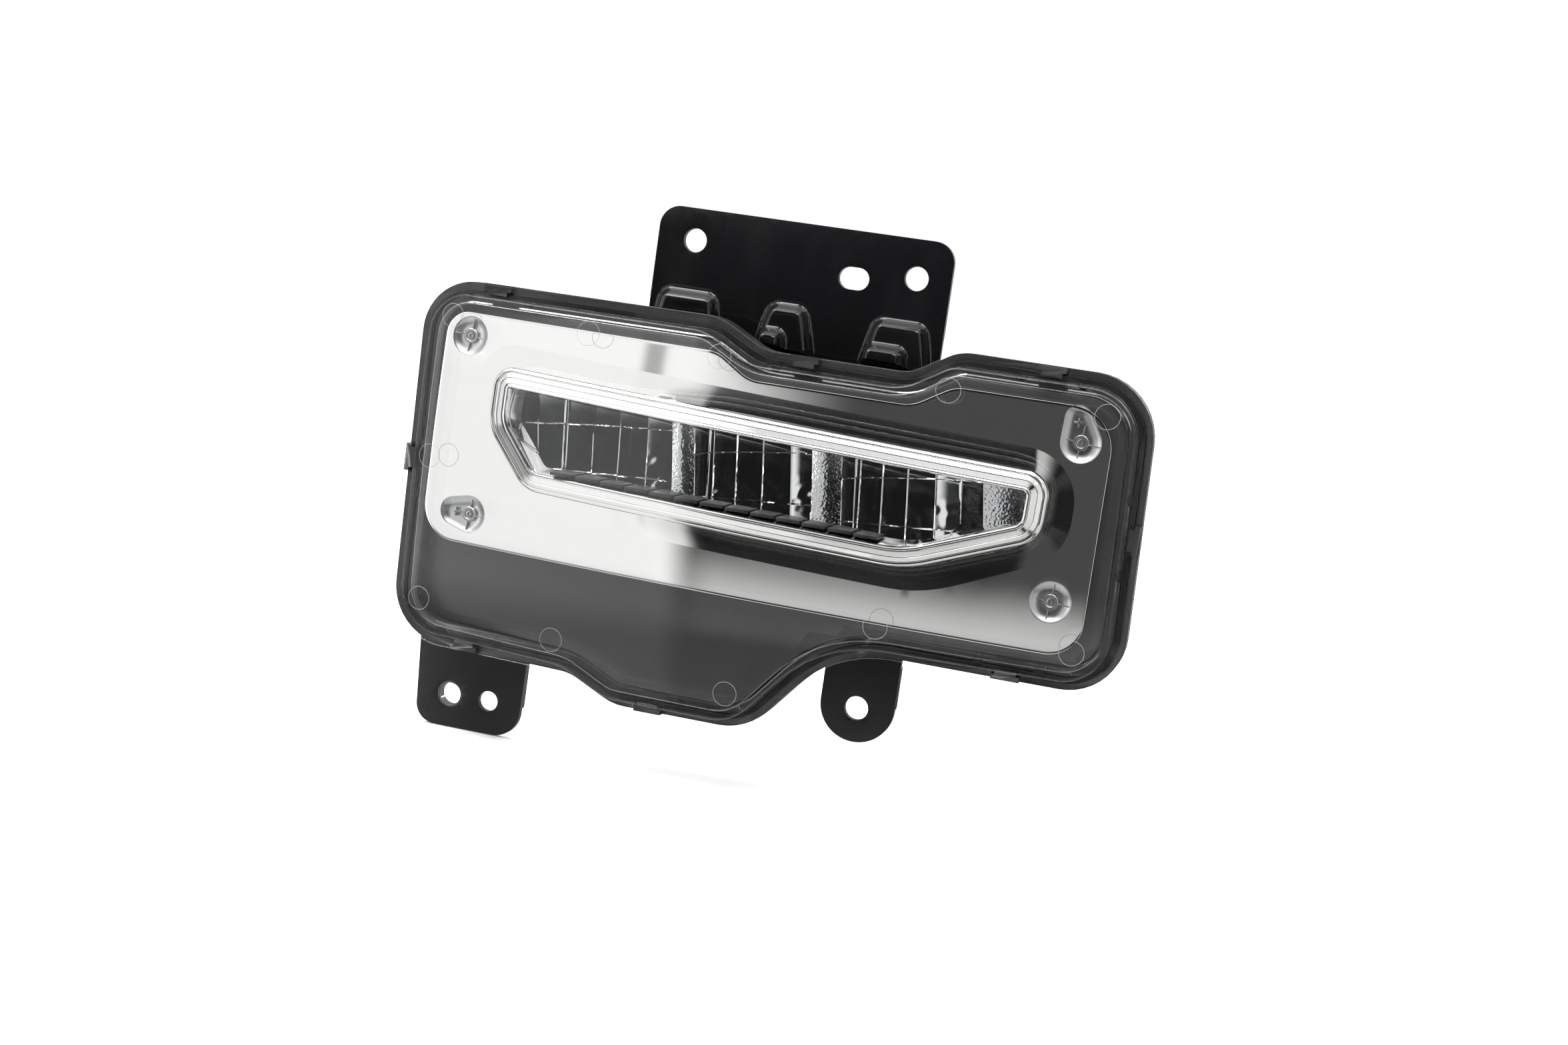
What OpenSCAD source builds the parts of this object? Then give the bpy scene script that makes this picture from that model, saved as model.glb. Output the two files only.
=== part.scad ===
// LED fog lamp on its pressed steel bracket.
// The origin is the centre of the bracket's upper left mounting hole, on the plate's front face.
// The lamp looks along -Y, +X is to the right as seen from the front, and +Z is up.
// The lamp's own pieces are drawn about its datum, the crown of the lens, and placed by at_lamp().

/* [Lamp place] */
// From the mounting hole to the crown of the lens, across
datum_x = 53.5; // [50:0.5:57]
// From the plate's front face to the crown of the lens, forwards
datum_y = 40; // [38:0.5:44]
// From the mounting hole to the lens datum, down
datum_z = 83.8; // [80:0.2:88]

/* [Lens] */
// Radius of the crowned lens front
lens_r = 760; // [650:10:900]
// Wall of the lens
lens_wall = 2.6; // [2:0.1:3]
// Depth of the lens flange's front face behind the crown
flange_y = 16; // [15.5:0.5:17]
// Thickness of the lens flange
flange_t = 2.5; // [2:0.1:2.5]
// Width of the lens flange outside the dome
flange_w = 4.6; // [4:0.1:5]
// Width of a clip window in the flange
clip_w = 10.4; // [9:0.2:12]
// Depth of a clip window from the flange's edge
clip_deep = 3.2; // [2.6:0.1:3.4]

/* [Housing] */
// Wall of the housing
shell = 2.5; // [2:0.1:3]
// Depth of the bucket's rear face behind the crown
bucket_y = 33; // [31:0.5:34]
// Depth of the rear box's end face behind the crown
box_y = 60; // [58:1:64]
// Width of the rear box
box_w = 68; // [60:1:70]
// Height of the rear box
box_h = 64; // [58:1:66]

/* [Bezel] */
// Gap from the lens front to the bezel plate
bezel_gap = 6; // [5:0.5:8]
// Thickness of the bezel plate
bezel_t = 2; // [1.5:0.1:2.5]
// How far the window ring stands in front of the plate
ring_rise = 1.8; // [1:0.1:2]
// Width of the window ring
ring_w = 6.5; // [5:0.1:7]

/* [Heat sink] */
// Number of fins
fin_n = 13; // [7:1:17]
// Depth of a fin
fin_deep = 13; // [8:1:18]
// Thickness of a fin
fin_t = 1.6; // [1.2:0.1:2.5]

/* [Bracket] */
// Thickness of the pressed steel
steel = 2.5; // [2:0.1:3]
// Width of the upper plate
plate_w = 101; // [95:1:110]
// Diameter of the mounting holes
hole_d = 8; // [6:0.1:9]
// From the left to the right mounting hole, across
hole_dx = 76.4; // [70:0.2:80]
// From the left to the right mounting hole, down
hole_dz = 2.2; // [0:0.1:4]
// Length of the slotted hole, end to end
slot_l = 10.4; // [9:0.1:12]
// Height of the slotted hole
slot_h = 7.4; // [6:0.1:8]
// Depth of the flanges on the lower tabs
tab_flange = 5; // [4:0.5:7]

/* [Aim] */
// Height of the tilt axis above the lens datum
pivot_z = 15; // [12:1:18]
// Depth of the tilt axis behind the crown
pivot_y = 52; // [50:1:54]
// From the tilt axis down to the aim screw
lever = 60; // [58:1:62]
// Radius of a pivot pin
pin_r = 3; // [2.5:0.1:3.5]
// Radius of the aim screw's thread
screw_r = 2.5; // [2:0.1:3]

/* [Hidden] */

// Fine facets for round work, and finer ones for the large lens sphere
$fn = 64;
sphere_fn = 360;
// Degrees of turn that one straight piece of a rounded corner covers
corner_step = 9;
// Clearance between parts on one body that don't touch, and between parts that move apart
gap = 0.3;
// Clearance of a running fit, on the radius
running = 0.05;

// The bracket's plate, front and back, seen from the lamp's datum
plate_y = datum_y;
plate_back = plate_y + steel;
// Middle of the rear box, the heat sink and the aim screw
box_x = -16;
box_z = 6;
aim_z = pivot_z - lever;

// Outline of the lens flange, clockwise from the upper left: x, z and corner radius
outer = [
    [-137.9, 60.2, 18], [-34.5, 60.8, 18], [-18, 52.2, 16], [29.7, 52.2, 14], [44.1, 61.2, 14],
    [108.6, 61.2, 21], [111.3, -40.2, 19], [19.7, -40.2, 38], [-7, -72.4, 21], [-53.8, -72.4, 18],
    [-70.4, -64.6, 14], [-135.8, -62.8, 20]
];
// Outline of the chromed bezel plate
plate = [
    [-128.5, 49.8, 8], [-31.7, 49.8, 12], [-19.8, 42.4, 12], [33.5, 42.4, 12], [46.1, 50.1, 12],
    [97, 50.1, 14], [97, -28.6, 11], [-128.3, -26.9, 12]
];
// Outline of the window ring
ring = [
    [-108.2, 34.2, 7], [80.3, 27.7, 8], [79.8, 6.5, 10], [38.5, -9.3, 40], [-92.2, -5.3, 12],
    [-108.2, 13.6, 16]
];
// Clips round the rim: x and z of the window's middle on the edge, the edge's outward direction,
// and the distance between the two locating lugs beside it
clips = [
    [-111, 60.3, 90, 20], [-4.5, 52.2, 90, 20], [74.7, 61.2, 90, 20], [109.9, 10.9, 0, 24],
    [74.7, -40.2, -90, 20], [-40.6, -72.4, -90, 20], [-107.3, -63.5, -90, 20], [-136.9, -1.2, 180, 24]
];
lug_r = 1.75;
// Fixing posts of the bezel: x, z, then the second centre of the dished recess, and its radius
posts = [
    [-119.3, 42, -119.3, 42, 6.6], [-111.2, -16.9, -118.5, -16.9, 6.3],
    [87.3, 38.7, 86, 44.4, 6.2], [85.7, -11.9, 85.7, -11.9, 6.7]
];
// Lamp cells: x of each cell's middle and its width
cells = [[-76, 46], [-20, 50], [36, 52]];
led_z = 27.6;
board_t = 1.6;
shelf_z = led_z + 0.8 + board_t;
reflector_back = bucket_y - shell - 1;
reflector_screw_x = [-49, 7.5];
// Places of the rear connector and of the vent
plug_x = -85;
plug_z = -18;
vent_x = 66;
vent_z = 8;
driver_y = 27;
driver_holes = [for (x = [-103, -67], z = [-49, -15]) [x, z]];

// ---------- geometry helpers ----------

function unit(v) = v / norm(v);
function edge(a, b) = unit([b.x - a.x, b.y - a.y]);

// Corner i of a clockwise outline after its edges move inwards by d
function moved(p, i, d) =
    let (n = len(p), u = edge(p[(i + n - 1) % n], p[i]), v = edge(p[i], p[(i + 1) % n]))
    let (nu = [u.y, -u.x], nv = [v.y, -v.x], k = d / (1 + nu * nv))
    [p[i].x + (nu.x + nv.x) * k, p[i].y + (nu.y + nv.y) * k,
     max(0.4, p[i][2] + (cross(u, v) < 0 ? -d : d))];
function inset(p, d) = [for (i = [0:len(p) - 1]) moved(p, i, d)];

// Points of the arc that rounds corner b between its neighbours a and c
function arc(a, b, c) =
    let (u = edge(a, b), v = edge(b, c), s = cross(u, v) < 0 ? -1 : 1, r = b[2])
    let (turn = acos(max(-1, min(1, u * v))), side = s * [-u.y, u.x])
    let (centre = [b.x, b.y] - u * r * tan(turn / 2) + side * r, n = max(1, ceil(turn / corner_step)))
    [for (k = [0:n]) let (w = s * turn * k / n)
        centre - r * [side.x * cos(w) - side.y * sin(w), side.x * sin(w) + side.y * cos(w)]];
function rounded(p) =
    let (n = len(p)) [for (i = [0:n - 1]) each arc(p[(i + n - 1) % n], p[i], p[(i + 1) % n])];

// Prism of an outline in the XZ plane, from depth y0 to depth y1
module slab(p, y0, y1) {
    translate([0, y1, 0]) rotate([90, 0, 0]) linear_extrude(y1 - y0) polygon(rounded(p));
}

// Frame between an outline moved in by d0 and the same moved in by d1
module frame(p, d0, d1, y0, y1) {
    difference() {
        slab(inset(p, d0), y0, y1);
        slab(inset(p, d1), y0 - 1, y1 + 1);
    }
}

// Box given by its lowest and highest corners
module box(a, b) {
    translate(a) cube(b - a);
}

// Cylinder along Y, and one along X
module rod_y(x, z, r, y0, y1) {
    translate([x, y1, z]) rotate([90, 0, 0]) cylinder(r = r, h = y1 - y0);
}
module rod_x(y, z, r, x0, x1) {
    translate([x0, y, z]) rotate([0, 90, 0]) cylinder(r = r, h = x1 - x0);
}

// Ball centred on the lens's centre of curvature, down to a depth behind the crown
module lens_ball(depth) {
    translate([0, lens_r, 0]) sphere(r = lens_r - depth, $fn = sphere_fn);
}

// Material between two depths behind the crowned front
module crowned(p, d0, d1) {
    difference() {
        intersection() {
            slab(p, d0 - 2, 60);
            lens_ball(d0);
        }
        lens_ball(d1);
    }
}

// From the lens datum to the part's origin
module at_lamp() {
    translate([datum_x, -datum_y, -datum_z]) children();
}

// Children drawn at each clip, with +X outwards and +Z along the edge
module at_clips() {
    for (c = clips) translate([c.x, 0, c.y]) rotate([0, -c[2], 0]) children();
}

// Depth of a crowned surface at a place on it
function crown(x, z, depth) = lens_r - sqrt(pow(lens_r - depth, 2) - x * x - z * z);

// ---------- bracket ----------

// Holes of the upper plate, seen from the origin
module plate_holes() {
    rod_y(0, 0, hole_d / 2, -1, steel + 1);
    rod_y(hole_dx, -hole_dz, hole_d / 2, -1, steel + 1);
    for (s = [-1, 1]) {
        rod_y(slot_x + s * (slot_l - slot_h) / 2, slot_z, slot_h / 2, -1, steel + 1);
    }
    box([slot_x - (slot_l - slot_h) / 2, -1, slot_z - slot_h / 2],
        [slot_x + (slot_l - slot_h) / 2, steel + 1, slot_z + slot_h / 2]);
}
slot_x = 55.6;
slot_z = -5;

// Outline of the bracket's flat: upper plate, web behind the lamp, cross member and two tabs
web_left = -66.5;
web_right = web_left + plate_w;
web = [
    [web_left, 94.5, 7], [web_right, 94.5, 7], [web_right, -34, 8], [36.9, -42, 6], [36.9, -73.7, 12.6],
    [11.5, -73.7, 12.6], [11.5, -46, 5], [2, -46, 5], [-6, -58, 5], [-92.8, -58, 4],
    [-93.4, -95.4, 9], [-131.2, -95.4, 7], [-133.6, -56, 10], [web_left, -34, 12]
];
ear_in = box_w / 2 + 4;
tab_hole_z = -84;
tab_holes = [[-119.6, 4.6], [-105.3, 3.5]];
right_hole = [24, -62.2];
right_tab_x = 11.5;

// Stamped pad that stiffens the joggle: x range, z range and how far it stands forward
module pad(x0, x1, z0, z1, rise, r) {
    slab([[x0, z1, r], [x1, z1, r], [x1, z0, 0.5], [x0, z0, 0.5]], plate_y - rise, plate_y + 0.5);
}

// Ear with a pin hole beside the rear box
module ear(x0) {
    difference() {
        union() {
            box([x0, plate_y, pivot_z - 9], [x0 + steel, pivot_y, pivot_z + 9]);
            rod_x(pivot_y, pivot_z, 7, x0, x0 + steel);
        }
        rod_x(pivot_y, pivot_z, pin_r, x0 - 1, x0 + steel + 1);
    }
}

// Part of the bracket's flat that lies in a box
module flat(x0, x1, z0, z1) {
    intersection() {
        slab(web, plate_y, plate_back);
        box([x0, plate_y - 1, z0], [x1, plate_back + 1, z1]);
    }
}

// Heights where the welded parts of the bracket meet
plate_low = box_z + box_h / 2 + 4;
rail_low = box_z - box_h / 2 - 4;
left_tab_top = -58;
right_tab_top = -46;

// Upper plate with its stamped pads and mounting holes
module bracket() {
    color([0.06, 0.06, 0.065])
    difference() {
        at_lamp() {
            flat(-140, 60, plate_low, 100);
            pad(-64, -41.5, 57, 66.6, 4, 4);
            pad(-28, -9.2, 51.5, 66.6, 4, 4);
            pad(-26.6, -16.6, 52.8, 58.4, 9, 1.5);
            pad(8.8, 30.4, 51.5, 66.6, 4, 4);
            pad(9.8, 25, 51.5, 58.4, 9, 1.5);
        }
        plate_holes();
    }
}

// Rails beside the rear box, each with its ear
module left_rail() {
    color([0.07, 0.07, 0.075])
    at_lamp() {
        flat(-140, box_x - ear_in, rail_low, plate_low);
        ear(box_x - ear_in - steel);
    }
}
module right_rail() {
    color([0.07, 0.07, 0.075])
    at_lamp() {
        flat(box_x + ear_in, 60, rail_low, plate_low);
        ear(box_x + ear_in);
    }
}

module cross_member() {
    color([0.08, 0.08, 0.085])
    at_lamp() difference() {
        flat(-140, 60, left_tab_top, rail_low);
        box([right_tab_x, plate_y - 1, -80], [60, plate_back + 1, right_tab_top]);
        rod_y(box_x, aim_z, 5, plate_y - 1, plate_y + 9);
    }
}

module left_tab() {
    color([0.06, 0.06, 0.065])
    at_lamp() difference() {
        union() {
            flat(-140, box_x, -100, left_tab_top);
            box([-131.6, plate_y, -87], [-131.6 + steel, plate_y + tab_flange, -62]);
            box([-93.3 - steel, plate_y, -85], [-93.3, plate_y + tab_flange, -60]);
        }
        for (h = tab_holes) rod_y(h.x, tab_hole_z, h.y, plate_y - 1, plate_y + 9);
    }
}

module right_tab() {
    color([0.06, 0.06, 0.065])
    at_lamp() difference() {
        union() {
            flat(right_tab_x, 60, -80, right_tab_top);
            box([right_tab_x, plate_y, -61], [right_tab_x + steel, plate_y + tab_flange, -50]);
            box([36.9 - steel, plate_y, -61], [36.9, plate_y + tab_flange, right_tab_top]);
        }
        rod_y(right_hole.x, right_hole.y, hole_d / 2, plate_y - 1, plate_y + 9);
    }
}

// Rolled split bush in the outer hole of the left tab
module tab_bush() {
    bush_r = tab_holes[0].y;
    color([0.3, 0.3, 0.31])
    at_lamp() difference() {
        rod_y(tab_holes[0].x, tab_hole_z, bush_r, plate_y, plate_y + 4.5);
        rod_y(tab_holes[0].x, tab_hole_z, bush_r - 0.7, plate_y - 1, plate_y + 6);
        translate([tab_holes[0].x, 0, tab_hole_z]) rotate([0, 150, 0])
            box([0, plate_y - 1, -0.2], [bush_r + 1, plate_y + 6, 0.2]);
    }
}

// The two shoulder pins riveted to the ears
module pivot_pins() {
    color([0.62, 0.62, 0.6])
    at_lamp() for (s = [-1, 1]) translate([box_x, 0, 0]) mirror([s < 0 ? 1 : 0, 0, 0]) {
        rod_x(pivot_y, pivot_z, pin_r, ear_in - 10, ear_in + steel + 0.01);
        rod_x(pivot_y, pivot_z, pin_r + 2.5, ear_in + steel, ear_in + steel + 2);
    }
}

// Plain bush in the web that the aim screw turns in
module aim_screw_bush() {
    color([0.85, 0.84, 0.8])
    at_lamp() difference() {
        union() {
            rod_y(box_x, aim_z, 5, plate_y, plate_back + 0.1);
            rod_y(box_x, aim_z, 7, plate_back, plate_back + 0.7);
        }
        rod_y(box_x, aim_z, 3 + running, plate_y - 1, plate_back + 2);
    }
}

// ---------- lamp body ----------

rim_y = flange_y + flange_t + gap;
rim_back = 25;
seal_in = [2.6, 4.4];

// Half-round locating lugs, a pair beside each clip, standing inwards from the seal's inner line
module lugs(r, y0, y1) {
    for (c = clips, s = [-1, 1]) translate([c.x, 0, c.y]) rotate([0, -c[2], 0])
        rod_y(-seal_in[1], s * c[3] / 2, r, y0, y1);
}

// Wall of the rear box, with the space for the aim arm's socket
module rear_box() {
    x0 = box_x - box_w / 2;
    x1 = box_x + box_w / 2;
    z0 = box_z - box_h / 2;
    z1 = box_z + box_h / 2;
    difference() {
        union() {
            box([x0, bucket_y - shell, z0], [x1, box_y, z1]);
            for (s = [-1, 1]) {
                rod_x(pivot_y, pivot_z, 7, box_x + (s < 0 ? -ear_in + 0.5 : box_w / 2 - 9),
                      box_x + (s < 0 ? -box_w / 2 + 9 : ear_in - 0.5));
            }
        }
        difference() {
            box([x0 + shell, 0, z0 + shell], [x1 - shell, box_y + 1, z1 - shell]);
            for (s = [-1, 1]) {
                rod_x(pivot_y, pivot_z, 7, box_x + (s < 0 ? -ear_in : box_w / 2 - 9),
                      box_x + (s < 0 ? -box_w / 2 + 9 : ear_in));
            }
            for (x = [x0 + 5, x1 - 5], z = [z0 + 5, z1 - 5]) rod_y(x, z, 4.5, bucket_y, box_y + 2);
        }
        for (s = [-1, 1]) {
            rod_x(pivot_y, pivot_z, pin_r + 1, box_x + (s < 0 ? -ear_in : box_w / 2 - 7),
                  box_x + (s < 0 ? -box_w / 2 + 7 : ear_in));
        }
        for (x = [x0 + 5, x1 - 5], z = [z0 + 5, z1 - 5]) rod_y(x, z, 1.7, box_y - 12, box_y + 1);
    }
}

// Arm under the rear box that carries the aim socket
module aim_arm() {
    difference() {
        union() {
            box([box_x - 11, 48, aim_z], [box_x + 11, 56, box_z - box_h / 2 + 1]);
            rod_y(box_x, aim_z, 11, 48, 56);
            for (s = [-1, 1]) translate([box_x + s * 9.5, 0, 0])
                box([-1.2, 46, box_z - box_h / 2 - 7], [1.2, 58, box_z - box_h / 2 + 1]);
        }
        rod_y(box_x, aim_z, 8.5, 47, 57);
    }
}

// Snap hook that comes forward through a clip window and laps over the flange
module hook() {
    box([-2.2, flange_y - 1.4, -4.6], [-0.5, rim_y + 1, 4.6]);
    box([-3.6, flange_y - 1.4, -3.4], [-2, flange_y - 0.3, 3.4]);
}

module housing() {
    color([0.13, 0.13, 0.135])
    at_lamp() {
        difference() {
            frame(outer, 0.3, 7.8, rim_y, rim_back);
            frame(outer, seal_in[0] - 0.2, seal_in[1] + 0.2, rim_y - 1, rim_y + 2);
            lugs(lug_r + 0.2, rim_y - 1, rim_y + 2);
        }
        frame(outer, 5.4, 7.8, rim_back - 0.5, bucket_y);
        difference() {
            slab(inset(outer, 5.4), bucket_y - shell, bucket_y);
            box([box_x - box_w / 2 + shell, 0, box_z - box_h / 2 + shell],
                [box_x + box_w / 2 - shell, 60, box_z + box_h / 2 - shell]);
            box([plug_x - 6, 0, plug_z - 3], [plug_x + 6, 60, plug_z + 3]);
            rod_y(vent_x, vent_z, 2.5, 0, 60);
        }
        rear_box();
        aim_arm();
        at_clips() hook();
        for (p = posts) difference() {
            rod_y(p.x, p.y, 3.4, crown(p.x, p.y, bezel_gap + bezel_t) + 3 * gap, bucket_y - 1);
            rod_y(p.x, p.y, 1.3, 0, bucket_y - 3);
        }
        for (p = driver_holes) difference() {
            rod_y(p.x, p.y, 3, driver_y + board_t, bucket_y - 1);
            rod_y(p.x, p.y, 1.5, 0, bucket_y - shell);
        }
        // Neck of the vent and the stiffening ribs of the rear wall
        difference() {
            rod_y(vent_x, vent_z, 4.5, bucket_y - 1, bucket_y + 4);
            rod_y(vent_x, vent_z, 2.5, 0, 60);
        }
        for (x = [-118, -104, 44, 88]) box([x - 1, bucket_y - 1, -30], [x + 1, bucket_y + 3, 42]);
        for (z = [-24, 36]) box([44, bucket_y - 1, z - 1], [88, bucket_y + 3, z + 1]);
    }
}

// Plastic bushes between the pins and the housing's bosses
module pivot_bushes() {
    color([0.88, 0.87, 0.82])
    at_lamp() for (s = [-1, 1]) translate([box_x, 0, 0]) mirror([s < 0 ? 1 : 0, 0, 0]) difference() {
        rod_x(pivot_y, pivot_z, pin_r + 1, box_w / 2 - 7, ear_in - 0.5);
        rod_x(pivot_y, pivot_z, pin_r + running, box_w / 2 - 6.4, ear_in);
    }
}

module outer_lens() {
    color([0.9, 0.92, 0.94, 0.35])
    at_lamp() {
        difference() {
            intersection() {
                slab(inset(outer, flange_w), -2, flange_y + flange_t);
                lens_ball(0);
            }
            intersection() {
                slab(inset(outer, flange_w + lens_wall), -4, flange_y + flange_t + 1);
                lens_ball(lens_wall);
            }
        }
        difference() {
            frame(outer, 0, flange_w + lens_wall, flange_y, flange_y + flange_t);
            at_clips() box([-clip_deep, 0, -clip_w / 2], [3, 40, clip_w / 2]);
        }
    }
}

module lens_seal() {
    color([0.03, 0.03, 0.03])
    at_lamp() {
        frame(outer, seal_in[0], seal_in[1], flange_y + flange_t, rim_y + 2);
        difference() {
            lugs(lug_r, flange_y + flange_t, rim_y + 2);
            difference() {
                slab(inset(outer, -9), 0, 40);
                slab(inset(outer, seal_in[1] - 0.2), -1, 41);
            }
        }
    }
}

module bezel() {
    color([0.86, 0.87, 0.88])
    at_lamp() {
        difference() {
            crowned(plate, bezel_gap, bezel_gap + bezel_t);
            slab(inset(ring, 0.5), 0, 60);
            for (p = posts) rod_y(p.x, p.y, 1.6, 0, 60);
        }
        difference() {
            crowned(ring, bezel_gap - ring_rise, bezel_gap + 5);
            slab(inset(ring, ring_w), 0, 60);
        }
    }
}

module bezel_screws() {
    color([0.5, 0.5, 0.5])
    at_lamp() for (p = posts) {
        y = crown(p.x, p.y, bezel_gap);
        rod_y(p.x, p.y, 2.5, y - 1.7, y - 0.5);
        rod_y(p.x, p.y, 1.3, y - 1, y + 9);
    }
}

// Dark inner panel that fills the space round and below the bezel
module mask_panel() {
    color([0.2, 0.2, 0.2])
    at_lamp() difference() {
        crowned(inset(outer, 8.6), 11.5, 13.5);
        slab(inset(ring, ring_w - 3.2), 0, 60);
        for (p = posts) rod_y(p.x, p.y, 4, 0, 60);
    }
}

// Metallised moulding with one curved trough for each lamp cell
module reflector() {
    color([0.8, 0.81, 0.82])
    at_lamp() difference() {
        intersection() {
            slab(inset(ring, ring_w - 2.8), 5, reflector_back);
            lens_ball(bezel_gap + 5.4);
        }
        box([-130, shelf_y - 3, led_z - 1], [100, 60, 60]);
        for (c = cells) box([c[0] - 5, led_y - 4, 15], [c[0] + 5, led_y + 4, 40]);
        for (x = reflector_screw_x) rod_y(x, 12, 1.4, reflector_back - 5, reflector_back + 1);
        for (c = cells) {
            intersection() {
                slab(inset(ring, ring_w), 0, reflector_back);
                translate([0, -2, 0]) box([c[0] - c[1] / 2, 0, -40], [c[0] + c[1] / 2, 60, 60]);
                rod_x(5, led_z - 6, 23, -120, 100);
            }
        }
    }
}

module reflector_screws() {
    color([0.6, 0.6, 0.6])
    at_lamp() for (x = reflector_screw_x) {
        rod_y(x, 12, 1.4, reflector_back - 5, reflector_back);
        rod_y(x, 12, 2.8, reflector_back, reflector_back + 0.9);
    }
}

shelf_left = cells[0][0] - 14;
shelf_right = cells[2][0] + 14;
shelf_y = 20.5;
led_y = 24;
board_screw_x = [cells[0][0] + 28, cells[1][0] + 28];
board_screw_y = 24;

module led_board() {
    color([0.85, 0.85, 0.82])
    at_lamp() difference() {
        box([shelf_left, shelf_y, led_z + 0.8], [shelf_right, 28, led_z + 0.8 + board_t]);
        for (x = board_screw_x) translate([x, board_screw_y, 0]) cylinder(r = 1.3, h = 60);
    }
}

module leds() {
    color([0.95, 0.85, 0.3])
    at_lamp() for (c = cells) box([c[0] - 2.5, led_y - 2, led_z], [c[0] + 2.5, led_y + 2, led_z + 0.8]);
}

module led_board_screws() {
    color([0.6, 0.6, 0.6])
    at_lamp() for (x = board_screw_x) translate([x, board_screw_y, led_z]) {
        translate([0, 0, -0.8]) cylinder(r = 2.4, h = 1.6);
        cylinder(r = 1.3, h = 4.2);
    }
}

sink_y = box_y + 1.5;
module heat_sink() {
    color([0.68, 0.69, 0.7])
    at_lamp() {
        x0 = box_x - box_w / 2;
        difference() {
            union() {
                box([x0, sink_y, box_z - box_h / 2], [x0 + box_w, sink_y + 3, box_z + box_h / 2]);
                for (i = [0:fin_n - 1]) {
                    x = x0 + 9.5 + i * (box_w - 19) / (fin_n - 1);
                    box([x - fin_t / 2, sink_y + 2, box_z - box_h / 2],
                        [x + fin_t / 2, sink_y + 3 + fin_deep, box_z + box_h / 2]);
                }
                box([box_x - 22, 28, shelf_z + 0.5], [box_x + 22, sink_y + 1, shelf_z + 3.5]);
                box([shelf_left, shelf_y, shelf_z + 0.5], [shelf_right, 28.5, shelf_z + 3.5]);
            }
            for (x = [x0 + 5, x0 + box_w - 5], z = [-1, 1]) {
                rod_y(x, box_z + z * (box_h / 2 - 5), 2.2, sink_y - 1, sink_y + 4);
            }
            for (x = board_screw_x) translate([x, board_screw_y, shelf_z - 1]) cylinder(r = 1.3, h = 8);
        }
    }
}

// Gap filler between the LED board and the heat sink's shelf
module thermal_pad() {
    color([0.55, 0.6, 0.68])
    at_lamp() difference() {
        box([shelf_left, shelf_y, shelf_z], [shelf_right, 28, shelf_z + 0.5]);
        for (x = board_screw_x) translate([x, board_screw_y, 0]) cylinder(r = 1.6, h = 60);
    }
}

module heat_sink_gasket() {
    color([0.05, 0.05, 0.05])
    at_lamp() difference() {
        box([box_x - box_w / 2, box_y, box_z - box_h / 2], [box_x + box_w / 2, sink_y, box_z + box_h / 2]);
        box([box_x - box_w / 2 + 2.5, box_y - 1, box_z - box_h / 2 + 2.5],
            [box_x + box_w / 2 - 2.5, sink_y + 1, box_z + box_h / 2 - 2.5]);
    }
}

module heat_sink_screws() {
    color([0.7, 0.7, 0.68])
    at_lamp() for (sx = [-1, 1], sz = [-1, 1]) {
        x = box_x + sx * (box_w / 2 - 5);
        z = box_z + sz * (box_h / 2 - 5);
        rod_y(x, z, 1.7, box_y - 10, sink_y + 3.1);
        difference() {
            rod_y(x, z, 3.6, sink_y + 3, sink_y + 5.4);
            rod_y(x, z, 1.5, sink_y + 4, sink_y + 6);
        }
    }
}

module driver_board() {
    color([0.05, 0.32, 0.16])
    at_lamp() difference() {
        box([-106, driver_y, -52], [-64, driver_y + board_t, -12]);
        for (p = driver_holes) rod_y(p.x, p.y, 1.5, 20, 40);
    }
}

module driver_parts() {
    color([0.15, 0.15, 0.16])
    at_lamp() {
        rod_y(-97, -38, 5, driver_y - 4, driver_y);
        rod_y(-85, -42, 4, driver_y - 5, driver_y);
        box([-79, driver_y - 1.6, -46], [-70, driver_y, -38]);
        box([-100, driver_y - 1.2, -29], [-94, driver_y, -23]);
        box([-76, driver_y - 2, -32], [-70, driver_y, -28]);
    }
}

module driver_screws() {
    color([0.6, 0.6, 0.6])
    at_lamp() for (p = driver_holes) {
        rod_y(p.x, p.y, 2.6, driver_y - 1, driver_y);
        rod_y(p.x, p.y, 1.5, driver_y - 0.5, bucket_y - shell);
    }
}

// Sealed two-way socket on the rear wall, open to the back
module connector_socket() {
    mouth = [[plug_x - 8, plug_z + 4.5, 3], [plug_x + 8, plug_z + 4.5, 3],
             [plug_x + 8, plug_z - 4.5, 3], [plug_x - 8, plug_z - 4.5, 3]];
    color([0.1, 0.1, 0.1])
    at_lamp() {
        difference() {
            union() {
                slab(inset(mouth, -2), bucket_y, bucket_y + 19);
                slab(inset(mouth, -5), bucket_y, bucket_y + 1.8);
            }
            slab(mouth, bucket_y + 3, bucket_y + 20);
            for (s = [-1, 1]) {
                box([plug_x + s * 3 - 0.4, 0, plug_z - 1.2], [plug_x + s * 3 + 0.4, 60, plug_z + 1.2]);
            }
        }
        box([plug_x - 2.5, bucket_y + 9, plug_z + 6], [plug_x + 2.5, bucket_y + 15, plug_z + 8.2]);
    }
}

module connector_terminals() {
    color([0.8, 0.7, 0.35])
    at_lamp() for (s = [-1, 1]) {
        box([plug_x + s * 3 - 0.4, driver_y + board_t, plug_z - 1.2],
            [plug_x + s * 3 + 0.4, bucket_y + 13, plug_z + 1.2]);
    }
}

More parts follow.
